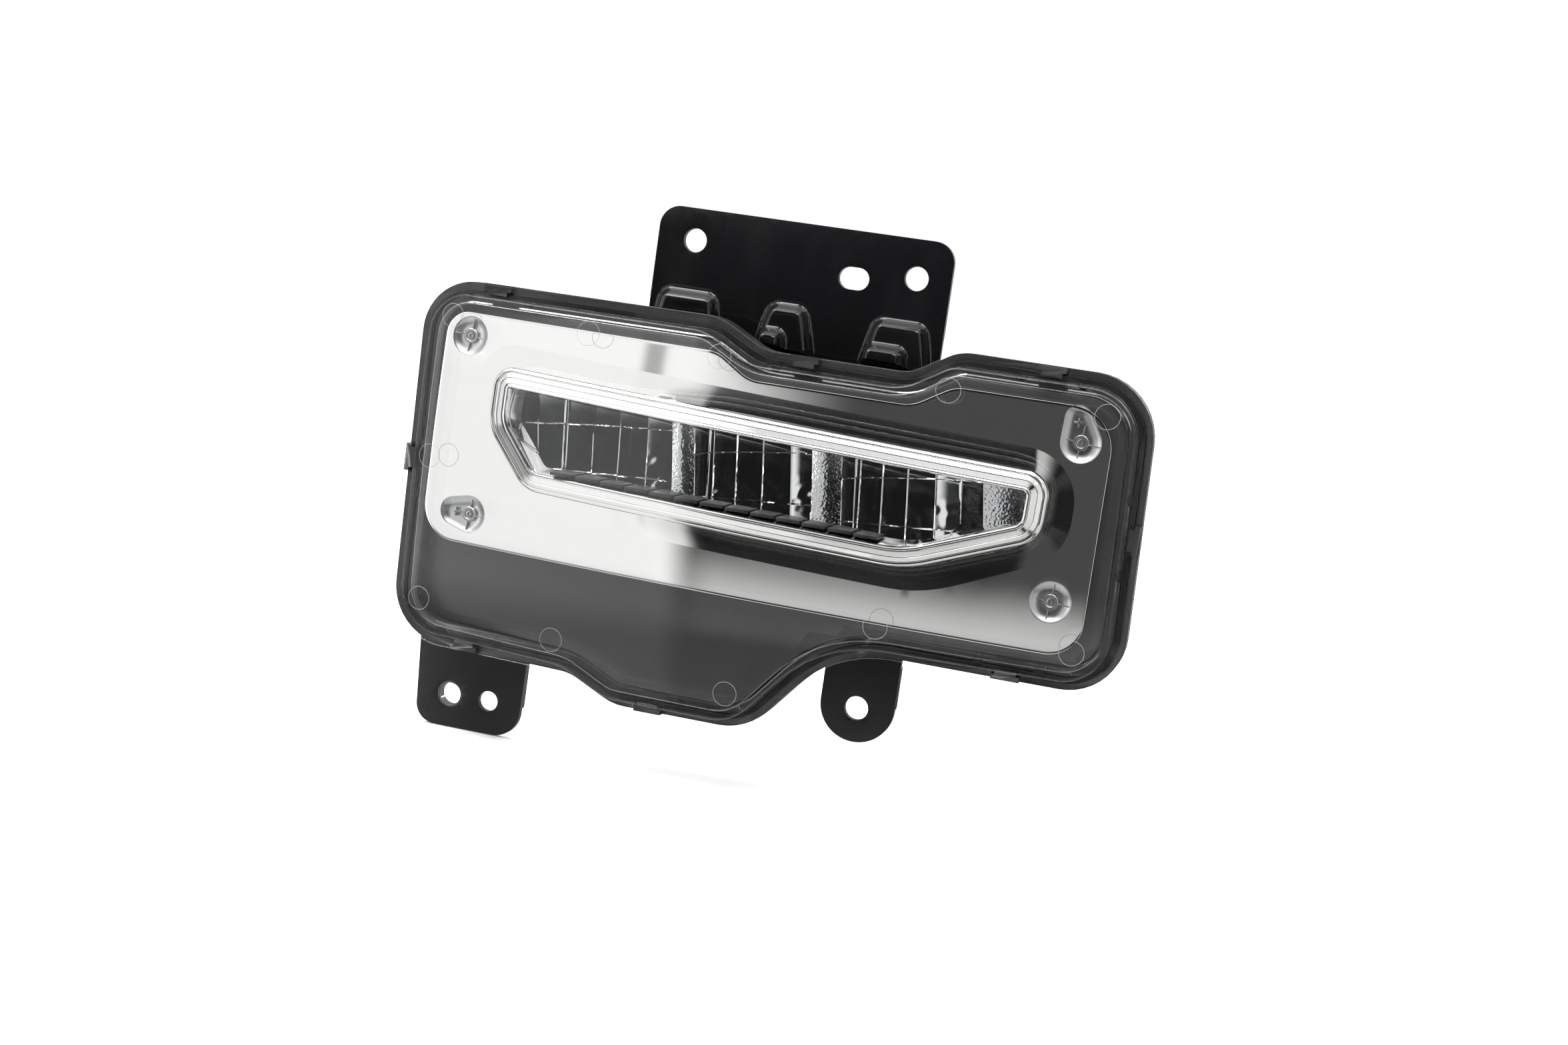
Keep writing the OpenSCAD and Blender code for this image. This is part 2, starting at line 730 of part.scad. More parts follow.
module vent_cap() {
    color([0.08, 0.08, 0.08])
    at_lamp() difference() {
        rod_y(vent_x, vent_z, 8, bucket_y + 0.5, bucket_y + 7.5);
        rod_y(vent_x, vent_z, 6.4, bucket_y, bucket_y + 4);
        rod_y(vent_x, vent_z, 4.5, bucket_y, bucket_y + 4);
        for (a = [0:60:300]) translate([vent_x, 0, vent_z]) rotate([0, a, 0])
            box([5, bucket_y, -1], [9, bucket_y + 3, 1]);
    }
}

// Nylon socket in the arm, with a round seat for the aim nut
ball_r = 5.4;
seat_r = ball_r + 0.15;
mouth_r = 4.3;

// Points of a ball's profile between two angles above and below its middle
function ball_side(r, a) = [for (t = [-1:0.1:1]) [r * cos(a * t), r * sin(a * t)]];

// Shape turned about the aim screw's axis, its profile's middle at the tilt axis's depth
module turned(profile) {
    translate([box_x, pivot_y, aim_z]) rotate([90, 0, 0]) rotate_extrude() polygon(profile);
}

module aim_socket() {
    half = 4;
    color([0.9, 0.89, 0.85])
    at_lamp() turned(concat(
        [[mouth_r, -half]], ball_side(seat_r, acos(mouth_r / seat_r)),
        [[mouth_r, half], [8.5, half], [8.5, -half]]));
}

// ---------- aiming screw and nut ----------

module aim_screw() {
    color([0.75, 0.72, 0.6])
    at_lamp() difference() {
        union() {
            difference() {
                rod_y(box_x, aim_z, 3, 38, plate_back + 1);
                difference() {
                    rod_y(box_x, aim_z, 4, 38.9, 39.9);
                    rod_y(box_x, aim_z, 2.3, 38, 41);
                }
            }
            rod_y(box_x, aim_z, 5.2, plate_back + 0.8, plate_back + 2);
            rod_y(box_x, aim_z, screw_r - running, plate_back + 1.5, 67);
            rod_y(box_x, aim_z, 6.2, 66, 67.4);
            translate([box_x, 72, aim_z]) rotate([90, 0, 0]) cylinder(r = 5.2, h = 5.5, $fn = 6);
        }
        rod_y(box_x, aim_z, 2, 69, 73);
    }
}

module aim_screw_clip() {
    color([0.35, 0.35, 0.36])
    at_lamp() difference() {
        rod_y(box_x, aim_z, 5, 38.95, 39.85);
        rod_y(box_x, aim_z, 2.3, 38, 41);
        box([box_x - 1.8, 38, aim_z - 8], [box_x + 1.8, 41, aim_z]);
    }
}

module aim_nut() {
    half = 3.8;
    color([0.92, 0.9, 0.84])
    at_lamp() turned(concat([[screw_r, -half]], ball_side(ball_r, asin(half / ball_r)), [[screw_r, half]]));
}

bracket();
left_rail();
right_rail();
cross_member();
left_tab();
right_tab();
tab_bush();
pivot_pins();
aim_screw_bush();
housing();
pivot_bushes();
outer_lens();
lens_seal();
bezel();
bezel_screws();
mask_panel();
reflector();
reflector_screws();
led_board();
leds();
led_board_screws();
heat_sink();
thermal_pad();
heat_sink_gasket();
heat_sink_screws();
driver_board();
driver_parts();
driver_screws();
connector_socket();
connector_terminals();
vent_cap();
aim_socket();
aim_screw();
aim_screw_clip();
aim_nut();
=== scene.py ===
"""Fog lamp on its pressed steel bracket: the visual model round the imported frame.

Everything is modelled in millimetres about the crown of the lens (x to the right, depth backwards,
z up) and is placed in the row frame, in metres, when a piece is finished.
"""
import logging
import math
from dataclasses import dataclass
from enum import Enum
from typing import Callable, Iterable, Sequence, Union

import bpy
import numpy as np
from mathutils import Matrix, Vector
from mathutils.geometry import delaunay_2d_cdt


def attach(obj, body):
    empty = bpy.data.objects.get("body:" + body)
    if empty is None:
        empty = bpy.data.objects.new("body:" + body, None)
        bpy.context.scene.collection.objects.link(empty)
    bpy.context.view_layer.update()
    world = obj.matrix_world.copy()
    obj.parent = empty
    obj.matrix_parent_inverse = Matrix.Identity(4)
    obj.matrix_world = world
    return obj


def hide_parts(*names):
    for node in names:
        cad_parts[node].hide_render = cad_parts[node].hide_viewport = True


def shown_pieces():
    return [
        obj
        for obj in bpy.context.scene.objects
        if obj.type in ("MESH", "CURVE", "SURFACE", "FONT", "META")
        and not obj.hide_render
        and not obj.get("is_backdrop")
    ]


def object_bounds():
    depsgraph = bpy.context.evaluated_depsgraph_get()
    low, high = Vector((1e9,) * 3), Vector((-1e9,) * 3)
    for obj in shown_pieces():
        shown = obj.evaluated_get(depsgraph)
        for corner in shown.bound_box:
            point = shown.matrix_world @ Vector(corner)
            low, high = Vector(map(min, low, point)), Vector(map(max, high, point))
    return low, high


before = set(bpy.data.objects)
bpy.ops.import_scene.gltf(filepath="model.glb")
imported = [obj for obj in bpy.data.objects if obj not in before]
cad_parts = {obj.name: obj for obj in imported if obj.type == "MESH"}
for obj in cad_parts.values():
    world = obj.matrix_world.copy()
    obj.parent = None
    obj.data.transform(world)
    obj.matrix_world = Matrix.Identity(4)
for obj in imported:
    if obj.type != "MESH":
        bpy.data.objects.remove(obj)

LOG = logging.getLogger("fog_lamp")
MM = 0.001
DATUM = Vector((0.0535, -0.040, -0.0838))
LENS_RADIUS = 760.0
LEAST_RADIUS = 0.4
Depth = Union[float, Callable[[np.ndarray, np.ndarray], np.ndarray]]
Value = Union["Wire", float, tuple]


class Body(Enum):
    """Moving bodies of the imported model."""

    BRACKET = "bracket"
    LAMP = "lamp"
    AIM_SCREW = "aim_screw"
    AIM_NUT = "aim_nut"


# ---------------------------------------------------------------- shader writing


class Wire:
    """Output of a shader node that takes part in sums and products."""

    def __init__(self, paint: "Paint", socket: bpy.types.NodeSocket) -> None:
        """Wraps one output socket of a material's tree."""
        self.paint = paint
        self.socket = socket

    def _math(self, operation: str, *values: Value) -> "Wire":
        """Adds a Math node over these values."""
        return self.paint.node("ShaderNodeMath", {"operation": operation}, dict(enumerate(values)))

    def __add__(self, other: Value) -> "Wire":
        """self + other."""
        return self._math("ADD", self, other)

    __radd__ = __add__

    def __sub__(self, other: Value) -> "Wire":
        """self - other."""
        return self._math("SUBTRACT", self, other)

    def __rsub__(self, other: Value) -> "Wire":
        """other - self."""
        return self._math("SUBTRACT", other, self)

    def __mul__(self, other: Value) -> "Wire":
        """self * other."""
        return self._math("MULTIPLY", self, other)

    __rmul__ = __mul__

    def capped(self, limit: float) -> "Wire":
        """This value, no more than a limit."""
        return self._math("MINIMUM", self, limit)

    def arcsine(self) -> "Wire":
        """Angle in radians whose sine this is."""
        return self._math("ARCSINE", self)

    def bearing(self, ahead: "Wire") -> "Wire":
        """Angle in radians of this value sideways and another ahead."""
        return self._math("ARCTAN2", self, ahead)

    def rise(self, low: float, high: float) -> "Wire":
        """Smooth step.

        Args:
            low: value up to which the result is 0.
            high: value from which the result is 1.

        Returns:
            The step; it falls instead of rising when high is below low.
        """
        if high < low:
            return 1.0 - self.rise(high, low)
        settings = {"interpolation_type": "SMOOTHSTEP"}
        return self.paint.node("ShaderNodeMapRange", settings, {0: self, 1: low, 2: high, 3: 0.0, 4: 1.0})


class Paint:
    """Writer of one node tree."""

    def __init__(self, tree: bpy.types.NodeTree) -> None:
        """Takes the tree to write in."""
        self.tree = tree

    def node(self, kind: str, settings: dict | None = None, sockets: dict | None = None,
             out: int = 0) -> Wire:
        """Adds a node.

        Args:
            kind: the node's type.
            settings: properties that are set first.
            sockets: input index or name to a value or a wire.
            out: which output to hand back.

        Returns:
            The wire of that output.
        """
        made = self.tree.nodes.new(kind)
        for name, value in (settings or {}).items():
            setattr(made, name, value)
        self.feed(made, sockets or {})
        return Wire(self, made.outputs[out])

    def feed(self, node: bpy.types.Node, sockets: dict) -> None:
        """Sets or links inputs of a node.

        Args:
            node: the node.
            sockets: input index or name to a value or a wire.
        """
        for key, value in sockets.items():
            if isinstance(value, Wire):
                self.tree.links.new(value.socket, node.inputs[key])
            else:
                node.inputs[key].default_value = value

    def place(self) -> Wire:
        """Object coordinates of the surface."""
        return self.node("ShaderNodeTexCoord", out=3)

    def noise(self, size_mm: float, detail: float = 2.0, stretch: tuple = (1.0, 1.0, 1.0)) -> Wire:
        """Cloudy noise over the surface.

        Args:
            size_mm: about how large its features are.
            detail: octaves of finer noise.
            stretch: factor for each axis; features grow longer along an axis whose factor is below 1.

        Returns:
            The noise, about 0 to 1.
        """
        spread = self.node("ShaderNodeMapping", None, {"Vector": self.place(), "Scale": stretch})
        sockets = {"Vector": spread, "Scale": 1.0 / (size_mm * MM), "Detail": detail}
        return self.node("ShaderNodeTexNoise", None, sockets)

    def blend(self, share: Value, first: tuple, second: tuple) -> Wire:
        """Colour between two colours."""
        sockets = {0: share, 6: (*first, 1.0), 7: (*second, 1.0)}
        return self.node("ShaderNodeMix", {"data_type": "RGBA"}, sockets, 2)

    def bump(self, height: Wire, relief_mm: float) -> Wire:
        """Normal of a relief this deep."""
        sockets = {"Strength": 1.0, "Distance": relief_mm * MM, "Height": height}
        return self.node("ShaderNodeBump", None, sockets)


def scaled(colour: tuple, factor: float) -> tuple:
    """Colour times a factor, kept below 1."""
    return tuple(min(1.0, part * factor) for part in colour)


@dataclass(frozen=True)
class Finish:
    """Moulded or painted surface with mottled colour, uneven gloss and a fine grain."""

    name: str
    colour: tuple
    rough: float
    metal: float = 0.0
    mottle: float = 0.12
    uneven: float = 0.06
    grain_mm: float = 0.5
    relief_mm: float = 0.012
    slot: str = ""

    @property
    def title(self) -> str:
        """The material's name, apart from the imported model's own ones."""
        return self.name + "_finish"

    def material(self) -> bpy.types.Material:
        """Builds the material.

        Returns:
            The material, with its fixed and its varying inputs set.
        """
        made = bpy.data.materials.new(self.title)
        made.use_nodes = True
        paint = Paint(made.node_tree)
        shader = made.node_tree.nodes["Principled BSDF"]
        paint.feed(shader, {"Metallic": self.metal, **self.dress(paint)})
        return made

    def dress(self, paint: Paint) -> dict:
        """What varies over the surface.

        Args:
            paint: writer of the material's tree.

        Returns:
            Wires for the shader's inputs, by name.
        """
        cloud = paint.noise(9.0, detail=3.0)
        dark, light = scaled(self.colour, 1 - self.mottle), scaled(self.colour, 1 + self.mottle)
        return {
            "Base Color": paint.blend(cloud, dark, light),
            "Roughness": self.rough - self.uneven / 2 + self.uneven * paint.noise(4.0),
            "Normal": paint.bump(paint.noise(self.grain_mm), self.relief_mm),
        }


@dataclass(frozen=True)
class GlossPaint(Finish):
    """Stoved black paint: a glossy film with a slight orange peel, dull specks and faint cloudy marks."""

    haze: float = 0.07
    speck: float = 0.3

    def dress(self, paint: Paint) -> dict:
        """What varies over the surface.

        Args:
            paint: writer of the material's tree.

        Returns:
            Wires for the shader's inputs, by name.
        """
        cloud = paint.noise(14.0, detail=4.0, stretch=(1.0, 1.0, 0.35))
        specks = paint.noise(0.55, detail=0.0).rise(0.80, 0.84)
        return {
            "Base Color": paint.blend(cloud, scaled(self.colour, 0.7), scaled(self.colour, 1.5)),
            "Roughness": self.rough + self.haze * cloud.rise(0.45, 0.75) + self.speck * specks,
            "Normal": paint.bump(paint.noise(1.6, detail=1.0), self.relief_mm),
        }


@dataclass(frozen=True)
class Chrome(Finish):
    """Vacuum metallised plastic, smooth enough to mirror, with a faint ripple."""

    def dress(self, paint: Paint) -> dict:
        """What varies over the surface.

        Args:
            paint: writer of the material's tree.

        Returns:
            Wires for the shader's inputs, by name.
        """
        breath = paint.noise(11.0, detail=3.0)
        return {
            "Base Color": paint.blend(breath, scaled(self.colour, 1 - self.mottle), self.colour),
            "Roughness": self.rough + self.uneven * paint.noise(3.0),
            "Normal": paint.bump(paint.noise(self.grain_mm, detail=1.0), self.relief_mm),
        }


@dataclass(frozen=True)
class PebbledChrome(Finish):
    """Metallised plastic with a pebbled texture that scatters light."""

    def dress(self, paint: Paint) -> dict:
        """What varies over the surface.

        Args:
            paint: writer of the material's tree.

        Returns:
            Wires for the shader's inputs, by name.
        """
        sockets = {"Vector": paint.place(), "Scale": 1.0 / (self.grain_mm * MM)}
        pebbles = paint.node("ShaderNodeTexVoronoi", {"feature": "SMOOTH_F1"}, sockets)
        return {
            "Base Color": paint.blend(paint.noise(2.0), scaled(self.colour, 0.8), self.colour),
            "Roughness": self.rough + self.uneven * paint.noise(1.0),
            "Normal": paint.bump(1.0 - pebbles, self.relief_mm),
        }


@dataclass(frozen=True)
class ClearPlastic(Finish):
    """Clear lens: see-through where it faces the eye, mirror-like where it turns away."""

    index: float = 1.42
    most: float = 0.22
    least: float = 0.0
    wiped: float = 0.006

    def dress(self, paint: Paint) -> dict:
        """What varies over the surface.

        Args:
            paint: writer of the material's tree.

        Returns:
            Wires for the shader's inputs, by name.
        """
        fresnel = paint.node("ShaderNodeFresnel", None, {"IOR": self.index})
        wipe = paint.noise(22.0, detail=3.0, stretch=(1.0, 1.0, 0.5))
        return {
            "Base Color": paint.blend(wipe, scaled(self.colour, 0.97), self.colour),
            "Roughness": self.rough + self.uneven * wipe,
            "Alpha": fresnel.capped(self.most) + self.least + self.wiped * wipe,
        }


@dataclass(frozen=True)
class Board(Finish):
    """Solder mask over copper tracks."""

    track: tuple = (0.9, 0.9, 0.9)
    cell_mm: float = 5.0

    def dress(self, paint: Paint) -> dict:
        """What varies over the surface.

        Args:
            paint: writer of the material's tree.

        Returns:
            Wires for the shader's inputs, by name.
        """
        sockets = {"Vector": paint.place(), "Scale": 1.0 / (self.cell_mm * MM)}
        settings = {"feature": "DISTANCE_TO_EDGE", "distance": "CHEBYCHEV"}
        tracks = paint.node("ShaderNodeTexVoronoi", settings, sockets).rise(0.035, 0.055)
        return {
            "Base Color": paint.blend(tracks, self.track, self.colour),
            "Roughness": self.rough + self.uneven * paint.noise(0.8),
            "Normal": paint.bump(1.0 - tracks, self.relief_mm),
        }


@dataclass(frozen=True)
class Phosphor(Finish):
    """Yellow phosphor with fine granules."""

    def dress(self, paint: Paint) -> dict:
        """What varies over the surface.

        Args:
            paint: writer of the material's tree.

        Returns:
            Wires for the shader's inputs, by name.
        """
        grains = paint.noise(0.25, detail=3.0)
        return {
            "Base Color": paint.blend(grains, scaled(self.colour, 0.75), self.colour),
            "Roughness": self.rough + self.uneven * grains,
            "Normal": paint.bump(grains, self.relief_mm),
        }


class Skin(Enum):
    """Finishes of this lamp; one without a slot of its own name says which slot it belongs to."""

    BRACKET_BLACK = GlossPaint("bracket_black", (0.0035, 0.0035, 0.004), rough=0.07, relief_mm=0.004)
    ZINC_STEEL = Finish("zinc_steel", (0.56, 0.56, 0.54), rough=0.3, metal=1.0, mottle=0.1, uneven=0.12,
                        grain_mm=0.3, relief_mm=0.004)
    BUSH_STEEL = Finish("bush_steel", (0.2, 0.2, 0.2), rough=0.34, metal=1.0, mottle=0.15, uneven=0.12,
                        grain_mm=0.3, relief_mm=0.004, slot="zinc_steel")
    HOUSING_BLACK = Finish("housing_black", (0.016, 0.016, 0.017), rough=0.36, mottle=0.2, uneven=0.1,
                           grain_mm=0.45, relief_mm=0.01)
    LENS_CLEAR = ClearPlastic("lens_clear", (0.94, 0.95, 0.96), rough=0.01, metal=1.0, uneven=0.02)
    # Painted shade: the moulding marks are grey and half opaque, so each ring shows as the dark line that
    # refraction draws round a real ejector mark.
    LENS_MARK = ClearPlastic("lens_mark_shade", (0.3, 0.3, 0.3), rough=0.3, uneven=0.05, least=0.5,
                             slot="lens_clear")
    SEAL_BLACK = Finish("seal_black", (0.008, 0.008, 0.008), rough=0.6, mottle=0.2, uneven=0.1,
                        grain_mm=0.3, relief_mm=0.02)
    BEZEL_CHROME = Chrome("bezel_chrome", (0.885, 0.88, 0.865), rough=0.03, metal=1.0, mottle=0.02,
                          uneven=0.02, grain_mm=6.0, relief_mm=0.0004)
    # Painted shade: the dishes' chrome is the bezel's made darker, so their curved mirrors look grey.
    DISH_CHROME = Chrome("dish_chrome_shaded", (0.55, 0.555, 0.56), rough=0.26, metal=1.0, mottle=0.05, uneven=0.08,
                         grain_mm=1.2, relief_mm=0.01, slot="bezel_chrome")
    MASK_DARK = Finish("mask_dark", (0.019, 0.019, 0.0185), rough=0.42, mottle=0.06, uneven=0.05,
                       grain_mm=0.35, relief_mm=0.0008)
    REFLECTOR_CHROME = Chrome("reflector_chrome", (0.82, 0.83, 0.84), rough=0.03, metal=1.0, mottle=0.03,
                              uneven=0.03, grain_mm=3.0, relief_mm=0.002)
    REFLECTOR_PEBBLED = PebbledChrome("reflector_pebbled", (0.6, 0.61, 0.62), rough=0.1, metal=1.0,
                                      mottle=0.05, uneven=0.08, grain_mm=0.75, relief_mm=0.16,
                                      slot="reflector_chrome")
    BOARD_WHITE = Board("board_white", (0.74, 0.74, 0.71), rough=0.3, relief_mm=0.03, track=(0.62, 0.62, 0.6))
    LED_YELLOW = Phosphor("led_yellow", (0.88, 0.68, 0.14), rough=0.35, relief_mm=0.02)
    CAST_ALUMINIUM = Finish("heat_sink_alu", (0.6, 0.61, 0.62), rough=0.38, metal=1.0, mottle=0.08,
                            uneven=0.14, relief_mm=0.03)
    PAD_GREY = Finish("pad_grey", (0.38, 0.42, 0.48), rough=0.7, mottle=0.06, uneven=0.1, grain_mm=0.4,
                      relief_mm=0.03)
    BOARD_GREEN = Board("board_green", (0.015, 0.13, 0.05), rough=0.3, relief_mm=0.03,
                        track=(0.03, 0.24, 0.09))
    PARTS_DARK = Finish("parts_dark", (0.045, 0.045, 0.05), rough=0.45, mottle=0.1, uneven=0.1, grain_mm=0.3,
                        relief_mm=0.01)
    TERMINAL_BRASS = Finish("terminal_brass", (0.74, 0.56, 0.24), rough=0.28, metal=1.0, mottle=0.08,
                            uneven=0.1, grain_mm=0.3, relief_mm=0.004)
    NYLON_WHITE = Finish("nylon_white", (0.76, 0.74, 0.66), rough=0.42, mottle=0.05, uneven=0.08,
                         grain_mm=0.4, relief_mm=0.008)

    @property
    def slot(self) -> str:
        """Name of the record's material slot."""
        return self.value.slot or self.value.name

    def material(self) -> bpy.types.Material:
        """The finish's material, built once."""
        return bpy.data.materials.get(self.value.title) or self.value.material()


# ---------------------------------------------------------------- outlines and surfaces


def crown(depth: float) -> Callable[[np.ndarray, np.ndarray], np.ndarray]:
    """Crowned surface.

    Args:
        depth: how far it lies behind the front of the lens.

    Returns:
        A function that gives its depth at x and z.
    """
    def surface(x: np.ndarray, z: np.ndarray) -> np.ndarray:
        """Depth at x and z."""
        return LENS_RADIUS - np.sqrt((LENS_RADIUS - depth) ** 2 - x * x - z * z)
    return surface


def smooth_step(value: np.ndarray, low: float, high: float) -> np.ndarray:
    """Smooth step from 0 at low to 1 at high."""
    share = np.clip((value - low) / (high - low), 0.0, 1.0)
    return share * share * (3 - 2 * share)


@dataclass(frozen=True)
class Outline:
    """Closed outline, clockwise in x and z, with a radius at each corner."""

    corners: tuple
    arcs: tuple
    cuts: tuple

    @classmethod
    def of(cls, corners: Sequence[Sequence[float]], pitch: float = 4.0, turn: float = 7.5) -> "Outline":
        """Outline with points along its straights and arcs.

        Args:
            corners: x, z and radius of each corner.
            pitch: distance between points on straights.
            turn: degrees between points on arcs.

        Returns:
            The outline.
        """
        made = cls(tuple(map(tuple, corners)), (), ())
        arcs, cuts = [], []
        for index in range(len(corners)):
            ahead, behind = made._edges(index)
            angle = math.degrees(ahead.angle(behind))
            arcs.append(max(2, math.ceil(angle / turn)))
            here, after = Vector(corners[index][:2]), Vector(corners[(index + 1) % len(corners)][:2])
            cuts.append(max(1, math.ceil((after - here).length / pitch)))
        return cls(made.corners, tuple(arcs), tuple(cuts))

    def recut(self, corners: Sequence[Sequence[float]]) -> "Outline":
        """Another outline with as many points, corner for corner."""
        return Outline(tuple(map(tuple, corners)), self.arcs, self.cuts)

    def _edges(self, index: int) -> tuple[Vector, Vector]:
        """Edges that meet at a corner.

        Args:
            index: the corner.

        Returns:
            Unit vectors of the edges before and after it.
        """
        count = len(self.corners)
        before, here, after = (Vector(self.corners[(index + step) % count][:2]) for step in (-1, 0, 1))
        return (here - before).normalized(), (after - here).normalized()

    def inset(self, distance: float) -> "Outline":
        """The outline moved sideways, with as many points.

        Args:
            distance: how far inwards; a negative one moves it outwards.

        Returns:
            The moved outline.
        """
        moved = []
        for index, (x, z, radius) in enumerate(self.corners):
            first, second = self._edges(index)
            n1, n2 = Vector((first.y, -first.x)), Vector((second.y, -second.x))
            shift = (n1 + n2) * (distance / (1 + n1.dot(n2)))
            convex = first.x * second.y - first.y * second.x < 0
            curve = max(LEAST_RADIUS, radius + (-distance if convex else distance))
            moved.append((x + shift.x, z + shift.y, curve))
        return Outline(tuple(moved), self.arcs, self.cuts)

    def loop(self) -> np.ndarray:
        """Points along the outline, arcs and straights.

        Returns:
            One row of x and z for each point.
        """
        count = len(self.corners)
        runs = []
        for index, (x, z, radius) in enumerate(self.corners):
            first, second = self._edges(index)
            sign = -1.0 if first.x * second.y - first.y * second.x < 0 else 1.0
            angle = first.angle(second)
            side = Vector((-first.y, first.x)) * sign
            centre = Vector((x, z)) - first * (radius * math.tan(angle / 2)) + side * radius
            arc = []
            for step in range(self.arcs[index] + 1):
                way = sign * angle * step / self.arcs[index]
                turned = Vector((side.x * math.cos(way) - side.y * math.sin(way),
                                 side.x * math.sin(way) + side.y * math.cos(way)))
                arc.append(centre - turned * radius)
            runs.append(arc)
        points = []
        for index, arc in enumerate(runs):
            points += arc
            start, end = arc[-1], runs[(index + 1) % count][0]
            points += [start.lerp(end, cut / self.cuts[index]) for cut in range(1, self.cuts[index])]
        return np.array([tuple(point) for point in points])


def raised(loop: np.ndarray, depth: Depth) -> np.ndarray:
    """Lays a flat loop on a surface.

    Args:
        loop: rows of x and z.
        depth: the surface.

    Returns:
        Rows of x, depth and z.
    """
    x, z = loop[:, 0], loop[:, 1]
    level = depth(x, z) if callable(depth) else np.full(len(loop), float(depth))
    return np.stack([x, level, z], axis=1)


def circle(x: float, z: float, radius: float, count: int = 32) -> np.ndarray:
    """Points of a circle, clockwise from its right side."""
    turn = -np.linspace(0, 2 * math.pi, count, endpoint=False)
    return np.stack([x + radius * np.cos(turn), z + radius * np.sin(turn)], axis=1)


def capsule(x0: float, z0: float, r0: float, x1: float, z1: float, r1: float, half: int = 16) -> np.ndarray:
    """Clockwise loop round two circles.

    Args:
        x0: centre of the first circle, with z0, and its radius r0.
        z0: see x0.
        r0: see x0.
        x1: centre of the second circle, with z1, and its radius r1.
        z1: see x1.
        r1: see x1.
        half: steps round each end.

    Returns:
        Rows of x and z.
    """
    across = math.atan2(z1 - z0, x1 - x0)
    open_by = math.acos(max(-1.0, min(1.0, (r0 - r1) / math.hypot(x1 - x0, z1 - z0))))
    near = across + open_by - np.linspace(0, 2 * open_by, half + 1)
    far = across - open_by - np.linspace(0, 2 * (math.pi - open_by), half + 1)
    first = np.stack([x1 + r1 * np.cos(near), z1 + r1 * np.sin(near)], axis=1)
    second = np.stack([x0 + r0 * np.cos(far), z0 + r0 * np.sin(far)], axis=1)
    return np.concatenate([first, second])


def inside(points: np.ndarray, loop: np.ndarray) -> np.ndarray:
    """Which points lie inside a loop.

    Args:
        points: rows of x and z.
        loop: rows of x and z.

    Returns:
        One truth value for each point.
    """
    a, b = loop, np.roll(loop, -1, axis=0)
    px, pz = points[:, :1], points[:, 1:2]
    crosses = (a[:, 1] > pz) != (b[:, 1] > pz)
    rise = np.where(b[:, 1] == a[:, 1], 1e-12, b[:, 1] - a[:, 1])
    at = a[:, 0] + (pz - a[:, 1]) * (b[:, 0] - a[:, 0]) / rise
    return (crosses & (px < at)).sum(axis=1) % 2 == 1


def gap_to(points: np.ndarray, loop: np.ndarray) -> np.ndarray:
    """Distance from a loop.

    Args:
        points: rows of x and z.
        loop: rows of x and z.

    Returns:
        One distance for each point.
    """
    start, along = loop[None], (np.roll(loop, -1, axis=0) - loop)[None]
    offset = points[:, None] - start
    share = np.clip((offset * along).sum(axis=2) / np.maximum((along ** 2).sum(axis=2), 1e-9), 0.0, 1.0)
    return np.linalg.norm(offset - share[..., None] * along, axis=2).min(axis=1)


# ---------------------------------------------------------------- modelling bench


